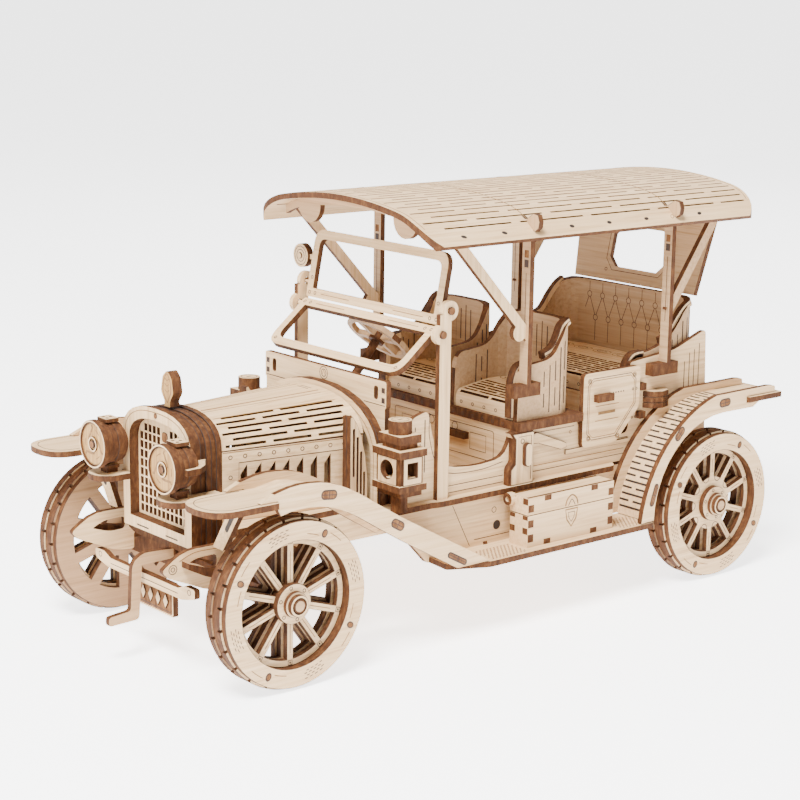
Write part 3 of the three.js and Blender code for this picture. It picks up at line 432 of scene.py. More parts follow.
def rectangle(u0, u1, v0, v1, corner=0.0, steps=3):
    """A rectangle with rounded corners."""
    if not corner:
        return [(u0, v0), (u1, v0), (u1, v1), (u0, v1)]
    made = []
    corners = ((u1 - corner, v0 + corner, -90), (u1 - corner, v1 - corner, 0),
               (u0 + corner, v1 - corner, 90), (u0 + corner, v0 + corner, 180))
    for u, v, first in corners:
        for i in range(steps + 1):
            angle = math.radians(first + 90 * i / steps)
            made.append((u + corner * math.cos(angle), v + corner * math.sin(angle)))
    return made


def moved(loop, u, v, angle=0.0):
    c, s = math.cos(angle), math.sin(angle)
    return [(u + c * a - s * b, v + s * a + c * b) for a, b in loop]


def flip(points, sign):
    """The points as they are for sign 1, or mirrored in the first value for sign -1."""
    return [(sign * u, v) for u, v in points]


def stripe(points, width, closed=False):
    """The outline of a narrow band along a line."""
    line = [Vector(p) for p in points]
    left, right = [], []
    count = len(line)
    for i, p in enumerate(line):
        a = line[i - 1] if i or closed else line[0]
        b = line[(i + 1) % count] if i < count - 1 or closed else line[-1]
        d = (b - a).normalized()
        n = Vector((-d.y, d.x)) * width / 2
        left.append(tuple(p + n))
        right.append(tuple(p - n))
    return left, right


FINEST_LINE = 0.25  # the width of the laser's own line, in millimetres
MARK_RISE = 0.05  # an engraved mark's own thickness above the face, in millimetres


def mark(build, points, place, material=CHAR, closed=False, rise=MARK_RISE, width=FINEST_LINE):
    """A scored line on a face: a narrow closed strip that lies in and just over the surface."""
    left, right = stripe(points, width, closed)
    count = len(points)
    corners = []
    for a, b in zip(left, right):
        corners += [at(*place(*a, -0.1)), at(*place(*a, rise)), at(*place(*b, rise)), at(*place(*b, -0.1))]
    faces = []
    for i in range(count if closed else count - 1):
        p, q = 4 * i, 4 * ((i + 1) % count)
        faces += [(p + k, p + (k + 1) % 4, q + (k + 1) % 4, q + k) for k in range(4)]
    if not closed:
        last = 4 * (count - 1)
        faces += [(3, 2, 1, 0), (last, last + 1, last + 2, last + 3)]
    build.add(corners, faces, material)


def spot(build, loop, place, material=CHAR, rise=MARK_RISE):
    """A filled engraved patch or a peg's end: a thin closed slab on a face."""
    plate(build, [loop], rise + 0.1, lambda u, v, w: place(u, v, w - 0.1), material, material, rim=0.03)


def side(y, sign=1):
    """A plane along the car at a value of y, facing out to +Y (sign 1) or -Y (sign -1)."""
    return lambda u, v, w: (u, sign * (y + w), v)


def across(x, sign=1):
    """A plane across the car at a value of x, facing forwards (sign 1) or backwards."""
    return lambda u, v, w: (x + sign * w, u, v)


def level(z, sign=1):
    return lambda u, v, w: (u, v, z + sign * w)


# ---------------------------------------------------------------- wheels
WHEEL_Z = 27.6
WHEEL_X = {"front": 97.1, "rear": -97.1}
WHEEL_INNER = 44.6  # value of y at a wheel's inner face
WHEEL_FACE = 55.5  # and at its outer face
SPOKES = 10
NOTCHES = 24
PEG_TURN = math.radians(27)  # the four pegs of a tyre stand at this angle and every quarter turn from it


def ring_with_spokes(build, place, outer, inner, hub, width, wood):
    """A sheet cut as a rim, spokes and a hub: the openings between the spokes are its holes."""
    holes = []
    for i in range(SPOKES):
        middle = math.tau * i / SPOKES + math.radians(18) + math.pi / SPOKES
        half_out = math.pi / SPOKES - math.asin(width / 2 / inner)
        half_in = math.pi / SPOKES - math.asin(width / 2 / hub)
        arc = [middle - half_out + 2 * half_out * k / 6 for k in range(7)]
        hole = [(inner * math.cos(a), inner * math.sin(a)) for a in arc]
        back = [middle + half_in - 2 * half_in * k / 4 for k in range(5)]
        hole += [(hub * math.cos(a), hub * math.sin(a)) for a in back]
        holes.append(hole)
    plate(build, [circle(0, 0, outer, 64), *holes], SHEET, place, wood)


def notched(radius, depth, turn):
    """A circle with small square notches all round it."""
    loop = []
    half = 0.45 / radius
    for i in range(NOTCHES):
        middle = math.tau * (i + turn) / NOTCHES
        next_middle = math.tau * (i + 1 + turn) / NOTCHES
        foot, floor = half * 0.8, radius - depth
        for angle, r in ((-half, radius), (-foot, floor), (foot, floor), (half, radius)):
            loop.append((r * math.cos(middle + angle), r * math.sin(middle + angle)))
        for k in (1, 2, 3):
            a = middle + half + (next_middle - middle - 2 * half) * k / 4
            loop.append((radius * math.cos(a), radius * math.sin(a)))
    return loop


def arc_line(radius, start, end, steps=8, u=0.0, v=0.0):
    """Points of an arc between two angles in degrees."""
    angles = [math.radians(start + (end - start) * i / steps) for i in range(steps + 1)]
    return [(u + radius * math.cos(a), v + radius * math.sin(a)) for a in angles]


def wheel(end, hand):
    sign = HANDS[hand]
    x = WHEEL_X[end]

    def lying(y):
        return lambda u, v, w: (x + u, sign * (y + w), WHEEL_Z + v)

    build = Build()
    birch = FACE["x"]
    rear = end == "rear"
    hub = 10 if rear else 6
    # The inner spoked sheet takes the darker wood, painted shade.
    ring_with_spokes(build, lying(WHEEL_INNER), 26.7, 19.6, 8.4, 4.2, PAINTED_SHADE_FACE)
    # The sheets of the tyre: outline, radius of the hole, thickness, y of the inner face, wood; the two
    # inner sheets take the darker wood, painted shade.
    for outline, hole, depth, y, wood in (
        (notched(27.55, 1.0, 0), 21.4, SHEET, 46.62, PAINTED_SHADE_FACE),
        (circle(0, 0, 26.9, 64), 20.9, 2.7, 48.66, PAINTED_SHADE_FACE),
        (notched(27.55, 1.0, 0.5), 21.0, SHEET, 51.4, birch),
        (circle(0, 0, 26.8, 64), 20.6, 2.05, WHEEL_FACE - 2.05, birch),
    ):
        plate(build, [outline, circle(0, 0, hole, 64)], depth, lying(y), wood)
    ring_with_spokes(build, lying(46.7), 21.3, 18.6, hub, 2.4, birch)
    ring_with_spokes(build, lying(50.1), 20.8, 18.6, hub, 2.4, birch)
    # The sheets of the hub: radius, sides, thickness, y of the inner face.
    for radius, sides, depth, y in (
        (5.4, 32, 4.2, 47.5), (6.5, 40, SHEET, 52.15), (4.2, 32, 1.3, 54.2), (3.5, 32, 1.6, 55.55),
    ):
        plate(build, [circle(0, 0, radius, sides), circle(0, 0, 2.6, 16)], depth, lying(y), birch)

    face = lying(WHEEL_FACE)
    for quarter in range(4):
        turn = PEG_TURN + quarter * math.pi / 2
        degrees = math.degrees(turn)
        c, s = math.cos(turn), math.sin(turn)
        oval = moved([(1.15 * a, 0.9 * b) for a, b in circle(0, 0, 1.25, 14)], 23.7 * c, 23.7 * s, turn)
        spot(build, oval, face, CHAR, 0.04)
        grain = moved([(0.8 * a, 0.6 * b) for a, b in circle(0, 0, 1.25, 12)], 23.7 * c, 23.7 * s, turn)
        spot(build, grain, face, SOFT_EDGE, 0.12)
        mark(build, arc_line(24.6, degrees + 5, degrees + 17), face, SCORED)
        mark(build, arc_line(22.6, degrees - 17, degrees - 5), face, SCORED)
        for row in range(4):
            for column in range(4):
                middle = degrees + 45 + (column - 1.5) * 4.6 + (row % 2) * 2.3
                radius = 22.4 + row * 0.85
                mark(build, arc_line(radius, middle - 1.3, middle + 1.3, 2), face, CHAR)
    ring_face = lying(52.1)
    for i in range(SPOKES):
        turn = math.tau * i / SPOKES + math.radians(18)
        c, s = math.cos(turn), math.sin(turn)
        square = moved(rectangle(-0.75, 0.75, -0.75, 0.75), 19.7 * c, 19.7 * s, turn)
        mark(build, square, ring_face, closed=True)
        dot = moved(rectangle(-0.3, 0.3, -0.3, 0.3), 19.7 * c, 19.7 * s, turn)
        spot(build, dot, ring_face, CHAR, 0.06)
        spoke_foot = hub * 1.15
        mark(build, [(spoke_foot * c, spoke_foot * s), (16.5 * c, 16.5 * s)], ring_face, SCORED)
        if rear:
            gap = turn + math.pi / SPOKES
            arc = moved(arc_line(1.5, 90, 270, 8), 9.9 * math.cos(gap), 9.9 * math.sin(gap), gap)
            mark(build, arc, ring_face, CHAR)
    hub_face = lying(54.15)
    for i in range(6):
        turn = math.tau * i / 6 + 0.3
        rivet_hole = circle(5.35 * math.cos(turn), 5.35 * math.sin(turn), 0.55, 10)
        mark(build, rivet_hole, hub_face, closed=True)
    name = f"wheel_{end}_{hand}"
    build.finish("spoked_" + name, BODY_OF[name], replaced=[name])


for end in WHEEL_X:
    for hand in HANDS:
        wheel(end, hand)


# ---------------------------------------------------------------- axle ends
def axle_ends():
    """The round dowel ends that show in the middle of the hub caps."""
    for end, x in WHEEL_X.items():
        build = Build()
        for sign in BOTH:
            # The dowel ends take the shaded tan copy of the birch.
            plate(build, [circle(x, WHEEL_Z, 1.9, 20)], 3.3, side(54, sign), SHADED_TAN["x"], SOFT_EDGE)
        build.finish(end + "_axle_ends", "car", "tan_ply")


axle_ends()


# ---------------------------------------------------------------- radiator and headlights
ARCH_STEPS = 14
GRILLE_X = 106.6
GRILLE_HALF = 15.9
GRILLE_SHOULDER, GRILLE_TOP = 69, 77.5


def arch(half, foot, shoulder, top, power=2.5):
    """Outline of the radiator and bonnet: upright sides under a rounded top."""
    right_side = [(half, foot)]
    for i in range(ARCH_STEPS + 1):
        angle = math.pi / 2 * i / ARCH_STEPS
        u = half * max(math.cos(angle), 0.0) ** (2 / power)
        right_side.append((u, shoulder + (top - shoulder) * math.sin(angle) ** (2 / power)))
    return right_side + [(-u, v) for u, v in reversed(right_side[:-1])]


def grille_height(u):
    """Height of the grille's arch at a distance u from its middle."""
    return GRILLE_SHOULDER + (GRILLE_TOP - GRILLE_SHOULDER) * (1 - (u / GRILLE_HALF) ** 2.5) ** (1 / 2.5)


def grille():
    build = Build()
    holes = []
    pitch_u, pitch_v = 2.5, 3.05
    for column in range(12):
        u = (column - 5.5) * pitch_u
        for row in range(11):
            v = 45.6 + row * pitch_v
            roof = grille_height(abs(u) + 0.8) - 0.9
            behind_tab = abs(u) < 3 and v > 68
            if v + 1.2 <= roof and not behind_tab:
                holes.append(rectangle(u - 0.78, u + 0.78, v - 1.15, v + 1.15))
    outline = arch(GRILLE_HALF, 43.3, GRILLE_SHOULDER, GRILLE_TOP)
    plate(build, [outline, *holes], SHEET, across(GRILLE_X), FACE["z"], rim=0.1)
    tab = moved(rectangle(-1.7, 1.7, -1.7, 1.7, 1.02, 2), 0, 71.6)
    plate(build, [tab], 0.4, across(GRILLE_X + SHEET - 0.2), SOFT_EDGE, EDGE, rim=0.2)
    build.finish("radiator_grille_sheet", replaced=["radiator_grille"])

    trim = Build()
    front = across(112)
    mark(trim, arch(18.4, 41.0, 70, 80.2)[1:-1], front, SCORED)
    for u0, u1 in ((-12, -5), (5, 12)):
        spot(trim, rectangle(u0, u1, 40.4, 40.9), front, CHAR)
    plate(trim, [circle(0, 79.2, 0.9, 14)], 0.3, front, SOFT_EDGE)
    trim.finish("radiator_trim")


def headlight(hand):
    """A lamp of round sheets on a curved bracket, with small pierced plates above and below."""
    sign = HANDS[hand]
    y, z = 20.5, 67.5

    def facing(x):
        return lambda u, v, w: (x + w, sign * (y + u), z + v)

    build = Build()
    birch = FACE["z"]
    for x, radius, depth, wood in (
        (112.6, 5.0, 1.2, birch),
        (113.8, 6.5, 1.7, EDGE),
        (115.6, 7.0, 1.75, EDGE),
        (117.45, 6.85, 1.75, EDGE),
        (119.3, 7.1, 1.8, EDGE),
    ):
        plate(build, [circle(0, 0, radius, 36)], depth, facing(x), wood, rim=0.14)
    plate(build, [circle(0, 0, 8, 48), circle(0, 0, 7.2, 40)], 2.1, facing(121.3), birch)
    plate(build, [circle(0, 0, 7.15, 40)], 1.5, facing(121.3), GILT)
    disc = facing(122.8)
    mark(build, circle(0, 0, 6.8, 36), disc, SCORED, closed=True, width=0.35)
    for turn in range(3):
        first = 120 * turn + 20
        swirl = [(r * math.cos(math.radians(first + a)), r * math.sin(math.radians(first + a)))
                 for r, a in ((3.0, 0), (3.4, 28), (4.3, 52), (5.4, 64), (6.2, 60))]
        mark(build, swirl, disc, SCORED, width=0.75)
        mark(build, arc_line(4.9, first - 36, first - 6, 5), disc, SCORED, width=0.3)
    plate(build, [circle(0, 0, 2.6, 24), circle(0, 0, 1.9, 20)], 0.5, disc, birch, rim=0.1)
    plate(build, [circle(0, 0, 1.25, 16)], 0.8, disc, SOFT_EDGE, CHAR, rim=0.1)

    def lying(height):
        return lambda u, v, w: (u, sign * v, height + w)

    base = [(103, 20.1), (103, 24), (107, 25.6), (113, 27)] + arc_line(6.5, 90, -90, 10, 117.6, y)
    base += [(113, 14), (112.4, 15), (112.4, 20.1)]
    plate(build, [base], SHEET, lying(55.6), birch)
    band = [(106.4, 20.1), (108.4, 22.8), (110.8, 26.4), (114.6, 29.2), (119.6, 29.4), (119.6, 27.7)]
    band += [(115.4, 27.4), (112.6, 25), (110.6, 21.8), (109.8, 20.1)]
    plate(build, [band], SHEET, lying(66.4), birch)
    for height in (74.6, 59.2):
        holes = [circle(u, v, 0.55, 10) for u, v in ((116.2, y), (118.2, y - 1.3), (118.2, y + 1.3))]
        pierced = [rectangle(114.6, 119.8, y - 3, y + 3, 0.8), *holes]
        plate(build, pierced, 1.2, lying(height), birch, rim=0.1)
    build.block((115, sign * 18.5, 57.4), (119, sign * 22.5, 60.2), EDGE)
    build.finish("lamp_" + hand, replaced=["headlight_" + hand])


grille()
for hand in HANDS:
    headlight(hand)


# ---------------------------------------------------------------- bent sheets with slits
def slatted(build, us, vs, is_open, surface, depth, face):
    """A bent sheet cut through by slits. us and vs are the grid lines; surface(u, v, d) is a point in
    millimetres at a depth d below the outer skin; is_open says which cells are cut away."""
    columns, rows = len(us) - 1, len(vs) - 1
    open_cells = {(i, j) for i in range(columns) for j in range(rows) if is_open(i, j)}

    def solid(i, j):
        return 0 <= i < columns and 0 <= j < rows and (i, j) not in open_cells

    numbers, points, faces, looks = {}, [], [], []

    def corner(i, j, low):
        key = (i, j, low)
        if key not in numbers:
            numbers[key] = len(points)
            points.append(at(*surface(us[i], vs[j], depth if low else 0)))
        return numbers[key]

    for i in range(columns):
        for j in range(rows):
            if not solid(i, j):
                continue
            ring = ((i, j), (i + 1, j), (i + 1, j + 1), (i, j + 1))
            faces.append([corner(*p, False) for p in ring])
            faces.append([corner(*p, True) for p in reversed(ring)])
            looks += [face, face]
            beside = ((i, j - 1), (i + 1, j), (i, j + 1), (i - 1, j))
            for k, cell in enumerate(beside):
                if not solid(*cell):
                    a, b = ring[k], ring[(k + 1) % 4]
                    faces.append([corner(*b, False), corner(*a, False), corner(*a, True), corner(*b, True)])
                    looks.append(EDGE)
    build.add(points, faces, looks)


def grid(values, spacing):
    """Sorted grid lines through the values, with more between them so that none is further apart."""
    values = sorted(set(round(v, 4) for v in values))
    lines = [values[0]]
    for value in values[1:]:
        count = max(1, math.ceil((value - lines[-1]) / spacing))
        first = lines[-1]
        lines += [first + (value - first) * k / count for k in range(1, count + 1)]
    return lines


def slit_cells(us, vs, slits):
    """is_open for slatted(): a cell whose middle lies in a slit (u0, u1, v0, v1) is cut away."""
    cells = set()
    for u0, u1, v0, v1 in slits:
        for i in range(len(us) - 1):
            if u0 < (us[i] + us[i + 1]) / 2 < u1:
                for j in range(len(vs) - 1):
                    if v0 < (vs[j] + vs[j + 1]) / 2 < v1:
                        cells.add((i, j))
    return lambda i, j: (i, j) in cells


def dashes(start, end, length, gap, offset):
    """Lengths of slit between two ends, with bridges of wood between them."""
    made = []
    place = start - offset
    while place < end:
        low, high = max(place, start), min(place + length, end)
        if high - low > gap:
            made.append((low, high))
        place += length + gap
    return made


# ---------------------------------------------------------------- roof
ROOF_BACK, ROOF_FRONT = -123, 39
ROOF_CREST = 143.6
ROOF_FLAT = (172, math.radians(10.5))  # radius of the outer skin, and the angle it turns through
ROOF_ROUND = (30, math.radians(38.5))
ROOF_FLAT_LENGTH = ROOF_FLAT[0] * ROOF_FLAT[1]
ROOF_HALF = ROOF_FLAT_LENGTH + ROOF_ROUND[0] * ROOF_ROUND[1]
ROOF_BAND = 44.2  # the plain band along each edge starts this far round from the middle
ARC_LINES = (-8.6, -77.6)  # values of x where the roof frames' arcs are scored on the skin


def roof_yz(s, d):
    """The roof's skin, s round from the middle and d below the surface."""
    flat, bend = ROOF_FLAT, ROOF_ROUND
    base = ROOF_CREST - (flat[0] - SHEET)
    centre = flat[0] - bend[0]
    turn = abs(s) / flat[0]
    if abs(s) <= ROOF_FLAT_LENGTH:
        y, z = (flat[0] - d) * math.sin(turn), base + (flat[0] - d) * math.cos(turn)
    else:
        turn = flat[1] + (abs(s) - ROOF_FLAT_LENGTH) / bend[0]
        y = centre * math.sin(flat[1]) + (bend[0] - d) * math.sin(turn)
        z = base + centre * math.cos(flat[1]) + (bend[0] - d) * math.cos(turn)
    return (y if s >= 0 else -y), z


def corner_cut(y, corner):
    """How far a rounded corner of the roof's plan draws its end in at a value of y."""
    over = (abs(y) - (50 - corner)) / corner
    return corner * (1 - math.sqrt(max(1 - over, 0.0))) ** 2 if over > 0 else 0.0


def roof_point(x, s, d):
    y, z = roof_yz(s, d)
    share = (x - ROOF_BACK) / (ROOF_FRONT - ROOF_BACK)
    low, high = ROOF_BACK + corner_cut(y, 16), ROOF_FRONT - corner_cut(y, 13)
    return low + share * (high - low), y, z


def roof():
    slits = []
    rows = 13
    for row in range(-rows, rows + 1):
        s = row * ROOF_BAND / rows
        for x0, x1 in dashes(ROOF_BACK + 3.4, ROOF_FRONT - 3.4, 30, 4, 17 * (row % 2)):
            slits.append((x0, x1, s - 0.34, s + 0.34))
    us = grid([ROOF_BACK, ROOF_FRONT] + [v for slit in slits for v in slit[:2]], 20)
    vs = grid([-ROOF_HALF, ROOF_HALF] + [v for slit in slits for v in slit[2:]], 2.6)
    build = Build()
    slatted(build, us, vs, slit_cells(us, vs, slits), roof_point, SHEET, FACE["x"])
    build.finish("roof_sheet", replaced=["roof_skin"], smooth=40)

    trim = Build()

    def skin(u, v, w):
        return roof_point(u, v, -w)

    around = [-43.6 + 87.2 * k / 60 for k in range(61)]
    for x in ARC_LINES:
        mark(trim, [(x, s) for s in around], skin, SCORED, width=0.4)
    for x in (ROOF_BACK + 1.7, ROOF_FRONT - 1.7):
        mark(trim, [(x, s) for s in around], skin, SCORED)
    for sign in BOTH:
        # The holes along each edge are spots of painted shade.
        for x in (25.2, 6.5, -26, -44.8, -64.2, -93):
            hole = [(x + 1.15 * a, sign * (48.4 + 0.72 * b)) for a, b in circle(0, 0, 1, 12)]
            spot(trim, hole, skin, SLIT_SHADE, 0.03)
        for x in ARC_LINES:
            ring = circle(x - 0.4, sign * 48.6, 0.8, 12)
            mark(trim, ring, skin, SCORED, closed=True)
            # The slot is a spot of painted shade.
            slot_low, slot_high = sorted((sign * 41.2, sign * 43.2))
            spot(trim, rectangle(x - 0.9, x + 0.9, slot_low, slot_high), skin, SLIT_SHADE, 0.03)
            tab = [(43.0, 138.6), (46.4, 140.8), (48.6, 140.4), (49.4, 138.2)]
            tab += [(49.0, 136.0), (47.4, 134.8), (44.6, 135.4)]
            # The tabs under the roof's edge take the shaded tan copy: painted shade.
            plate(trim, [flip(tab, sign)], SHEET, across(x - 1), SHADED_TAN["z"])
    trim.finish("roof_trim")


# ---------------------------------------------------------------- bonnet
HOOD_X = (48.3, 99.7)
HOOD_HALF = (27, 19.3)
HOOD_TOP = (81.4, 80)
HOOD_SHOULDER = 67
HOOD_PANEL_TOP = 69.4
HOOD_POWER = 2.3


def hood_point(x, turn, d):
    """The bonnet's skin: turn runs from one foot of the arch (-1) over the top (0) to the other (1)."""
    share = (x - HOOD_X[0]) / (HOOD_X[1] - HOOD_X[0])
    half = HOOD_HALF[0] + share * (HOOD_HALF[1] - HOOD_HALF[0]) - d
    top = HOOD_TOP[0] + share * (HOOD_TOP[1] - HOOD_TOP[0]) - d
    angle = math.pi / 2 * (1 - abs(turn))
    y = half * max(math.cos(angle), 0.0) ** (2 / HOOD_POWER)
    z = HOOD_SHOULDER + (top - HOOD_SHOULDER) * math.sin(angle) ** (2 / HOOD_POWER)
    return x, (y if turn >= 0 else -y), z


def hood():
    build = Build()
    foot = 0.90  # turn at which the arch meets the flat side panels
    slits = []
    x0, x1 = HOOD_X[0] + 2.2, HOOD_X[1] - 1.6
    third = (x1 - x0) / 3
    for sign in BOTH:
        for row in range(6):
            turn = sign * (0.845 - 0.095 * row)
            half = 0.019
            if row % 2 == 0:
                spans = [(x0, x0 + third - 1.6), (x0 + third + 1, x0 + 2 * third - 1)]
                spans += [(x0 + 2 * third + 1.6, x1)]
            else:
                spans = [(x0 + 2.4, (x0 + x1) / 2 - 1.2), ((x0 + x1) / 2 + 1.2, x1 - 3)]
            for a, b in spans:
                slits.append((a, b, turn - half, turn + half))
    us = grid([*HOOD_X, *(v for slit in slits for v in slit[:2])], 12)
    vs = grid([-foot, foot, *(v for slit in slits for v in slit[2:])], 0.06)
    slatted(build, us, vs, slit_cells(us, vs, slits), hood_point, SHEET, FACE["x"])

    run = HOOD_X[1] - HOOD_X[0]
    fall = HOOD_HALF[1] - HOOD_HALF[0]
    length = math.hypot(run, fall)
    for sign in BOTH:
        def panel(u, v, w, sign=sign):
            x = HOOD_X[0] + u * run / length - w * fall / length
            y = HOOD_HALF[0] - SHEET + u * fall / length + w * run / length
            return x, sign * y, v

        louvres = []
        for i in range(7):
            u = 13.4 + i * 5.1
            louvres.append([(u - 1.1, 50), (u + 1.1, 50), (u + 1.1, 61.2), (u - 1.1, 64.2)])
        plate(build, [rectangle(0.1, length - 0.1, 46, HOOD_PANEL_TOP), *louvres], SHEET, panel)

        def outside(u, v, w, panel=panel):
            return panel(u, v, w + SHEET)

        for i in range(9):
            rivet(build, length - 3.2 - i * 5.2, 67.2, outside)
        for z in (60.6, 54):
            rivet(build, length - 3.2, z, outside)
        border = [(length - 6.2, 47.5), (length - 6.2, 65.2), (2, 65.2)]
        mark(build, border, outside)
        mark(build, [(0.5, HOOD_PANEL_TOP - 0.5), (length - 0.5, HOOD_PANEL_TOP - 0.5)], outside, SCORED)

    def skin(u, v, w):
        return hood_point(u, v, -w)

    mark(build, [(HOOD_X[0] + 4, 0), (HOOD_X[1] - 0.4, 0)], skin, SCORED, width=0.36)
    for x in (HOOD_X[0] + 3.6, HOOD_X[0] + 5):
        mark(build, [(x, -0.05 + 0.1 * k / 4) for k in range(5)], skin)
    for turn in (0.235, -0.235):
        mark(build, [(HOOD_X[0] + 3, turn), (HOOD_X[1] - 2, turn)], skin, SCORED)
    build.finish("hood_sheets", replaced=["hood"], smooth=40)


def rivet(build, u, v, place, radius=0.62, material=CHAR):
    """A small engraved circle."""
    mark(build, circle(u, v, radius, 12), place, material, closed=True)


def cheek_panels():
    """Slatted panels that stand beside the back of the bonnet."""
    build = Build()
    outline = [(50, 46), (57.4, 46), (57.4, 77), (56.4, 77.2)]
    outline += [(54.6, 74.6), (52.6, 70), (51, 63.5), (50, 56)]
    slits = [rectangle(55.6, 56.2, 57, 73, 0.25, 2), rectangle(54.0, 54.6, 50, 70, 0.25, 2),
             rectangle(52.5, 53.1, 50, 65, 0.25, 2), rectangle(51.2, 51.7, 50, 58, 0.2, 2)]
    for sign in BOTH:
        for y in (27.2, 29.3):
            plate(build, [outline, *slits], SHEET, side(y, sign), FACE["z"])
    build.finish("cheek_panels")


# ---------------------------------------------------------------- seat cushions
SEAT_TOP = 67.5
SEAT_CORNER = 12  # radius of the rounded back corners of the cushions and the shells round them


def cushion(name, x_back, x_front, y0, y1, node):
    """A slatted sheet bent down at the front, with rivets along the bend, over plain sides."""
    drop = 6.4
    bend = 3.0
    quarter = bend * math.pi / 2
    flat_start = drop - bend + quarter
    depth = x_front - x_back
    total = flat_start + depth - bend
    height = SEAT_TOP + drop

    def profile(v, d):
        """x and z at a distance v along the sheet from the foot of its front."""
        if v < drop - bend:
            return x_front - d, SEAT_TOP + v
        if v < flat_start:
            angle = (v - (drop - bend)) / bend
            reach = bend - d
            return x_front - bend + reach * math.cos(angle), height - bend + reach * math.sin(angle)
        along = v - flat_start
        crown = 1.9 * math.sin(math.pi * min(along / (depth - bend), 1.0) * 0.62)
        return x_front - bend - along, height + crown - d

    def surface(u, v, d):
        x, z = profile(v, d)
        over = (x_back + SEAT_CORNER - x) / SEAT_CORNER
        cut = SEAT_CORNER * (1 - math.sqrt(max(1 - over, 0.0))) ** 2 if over > 0 else 0.0
        cut = min(cut, (y1 - y0) / 2 - 1)
        low, high = y0 + cut, y1 - cut
        return x, low + (u - y0) / (y1 - y0) * (high - low), z

    slits = []
    rows = int((depth * 0.6) / 2.05)
    for row in range(rows):
        v = drop - 0.6 + row * 2.05
        for a, b in dashes(y0 + 1.4, y1 - 1.4, 15, 1.3, 8.1 * (row % 2)):
            slits.append((a, b, v - 0.52, v + 0.52))
    us = grid([y0, y1, *(v for slit in slits for v in slit[:2])], 8)
    vs = grid([0, total, *(v for slit in slits for v in slit[2:])], 2.4)
    build = Build()
    slatted(build, us, vs, slit_cells(us, vs, slits), surface, 1.6, FACE["y"])

    def front(u, v, w):
        return x_front + w, u, v

    count = max(3, round((y1 - y0) / 6))
    for i in range(count):
        rivet(build, y0 + (y1 - y0) * (i + 0.5) / count, SEAT_TOP + 2.0, front, 0.55)

    def top(u, v, w):
        return surface(u, v, -w)

    middle = (y0 + y1) / 2
    behind = total - depth * 0.2
    tufts = max(1, round((y1 - y0) / 11))
    for i in range(tufts):
        u = middle + (i - (tufts - 1) / 2) * 10.5
        inner = [(u + 2.4 * a, behind + 1.1 * b) for a, b in circle(0, 0, 1, 14)]
        outer = [(u + 4.4 * a, behind + 2.4 * b) for a, b in circle(0, 0, 1, 18)]
        mark(build, inner, top, closed=True)
        mark(build, outer, top, SCORED, closed=True)
    for sign, y in ((-1, y0), (1, y1)):
        cheek = [(x_front - 0.4, SEAT_TOP), (x_front - 0.4, SEAT_TOP + 4.2), (x_front - 3, height - 1.9),
                 (x_back + depth * 0.5, height - 0.4), (x_back + SEAT_CORNER, height - 0.4),
                 (x_back + SEAT_CORNER, SEAT_TOP)]
        plate(build, [cheek], 1.2, side(sign * y - 1.9, sign), FACE["x"], rim=0.1)
    build.finish(name, replaced=[node], smooth=40)


roof()
hood()
cheek_panels()
cushion("slatted_cushion_left", -37.4, -11, 5.4, 35.6, "front_seat_cushion_left")
cushion("slatted_cushion_right", -37.4, -11, -35.6, -5.4, "front_seat_cushion_right")
cushion("slatted_cushion_rear", -103, -66, -33.4, 33.4, "rear_seat_cushion")

# ---------------------------------------------------------------- engraving and tabs on the kept sheets
def smooth(points, steps=5):
    """Points along a Catmull-Rom curve through the given ones."""
    made = []
    count = len(points)
    for i in range(count - 1):
        a, b, c, d = (Vector(points[min(max(i + k, 0), count - 1)]) for k in (-1, 0, 1, 2))
        for k in range(steps):
            t = k / steps
            second = 2 * a - 5 * b + 4 * c - d
            third = 3 * b - a - 3 * c + d
            made.append(tuple((2 * b + (c - a) * t + second * t * t + third * t ** 3) / 2))
    return made + [tuple(points[-1])]


def between(table, value):
    """Straight-line reading of a table of (place, height) pairs in falling order of place."""
    for (x1, z1), (x0, z0) in zip(table, table[1:]):
        if x0 <= value <= x1:
            return z0 + (z1 - z0) * (value - x0) / max(x1 - x0, 1e-6)
    return table[-1][1] if value < table[-1][0] else table[0][1]


def leaning(x, z, degrees, w0=0.0):
    """A plane across the car through (x, z) that leans back; v runs up it and w out of its front."""
    c, s = math.cos(math.radians(degrees)), math.sin(math.radians(degrees))
    return lambda u, v, w: (x - v * s + (w + w0) * c, u, z + v * c + (w + w0) * s)


def plug(build, u, v, du, dv, place, angle=0.0):
    """A round-ended slot with the cross-laid ends of two tabs showing in it."""
    corner = min(du, dv) * 0.49
    outer = moved(rectangle(-du / 2, du / 2, -dv / 2, dv / 2, corner, 4), u, v, angle)
    spot(build, outer, place, CHAR, 0.03)
    half_u, half_v = du / 2 - 0.45, dv / 2 - 0.45
    inner = moved(rectangle(-half_u, half_u, -half_v, half_v, corner * 0.7, 3), u, v, angle)
    spot(build, inner, place, SOFT_EDGE, 0.14)
    mark(build, moved([(0, -dv / 2 + 0.4), (0, dv / 2 - 0.4)], u, v, angle), place, CHAR, rise=0.17)
    mark(build, moved([(-du / 2 + 0.4, 0), (du / 2 - 0.4, 0)], u, v, angle), place, CHAR, rise=0.16)


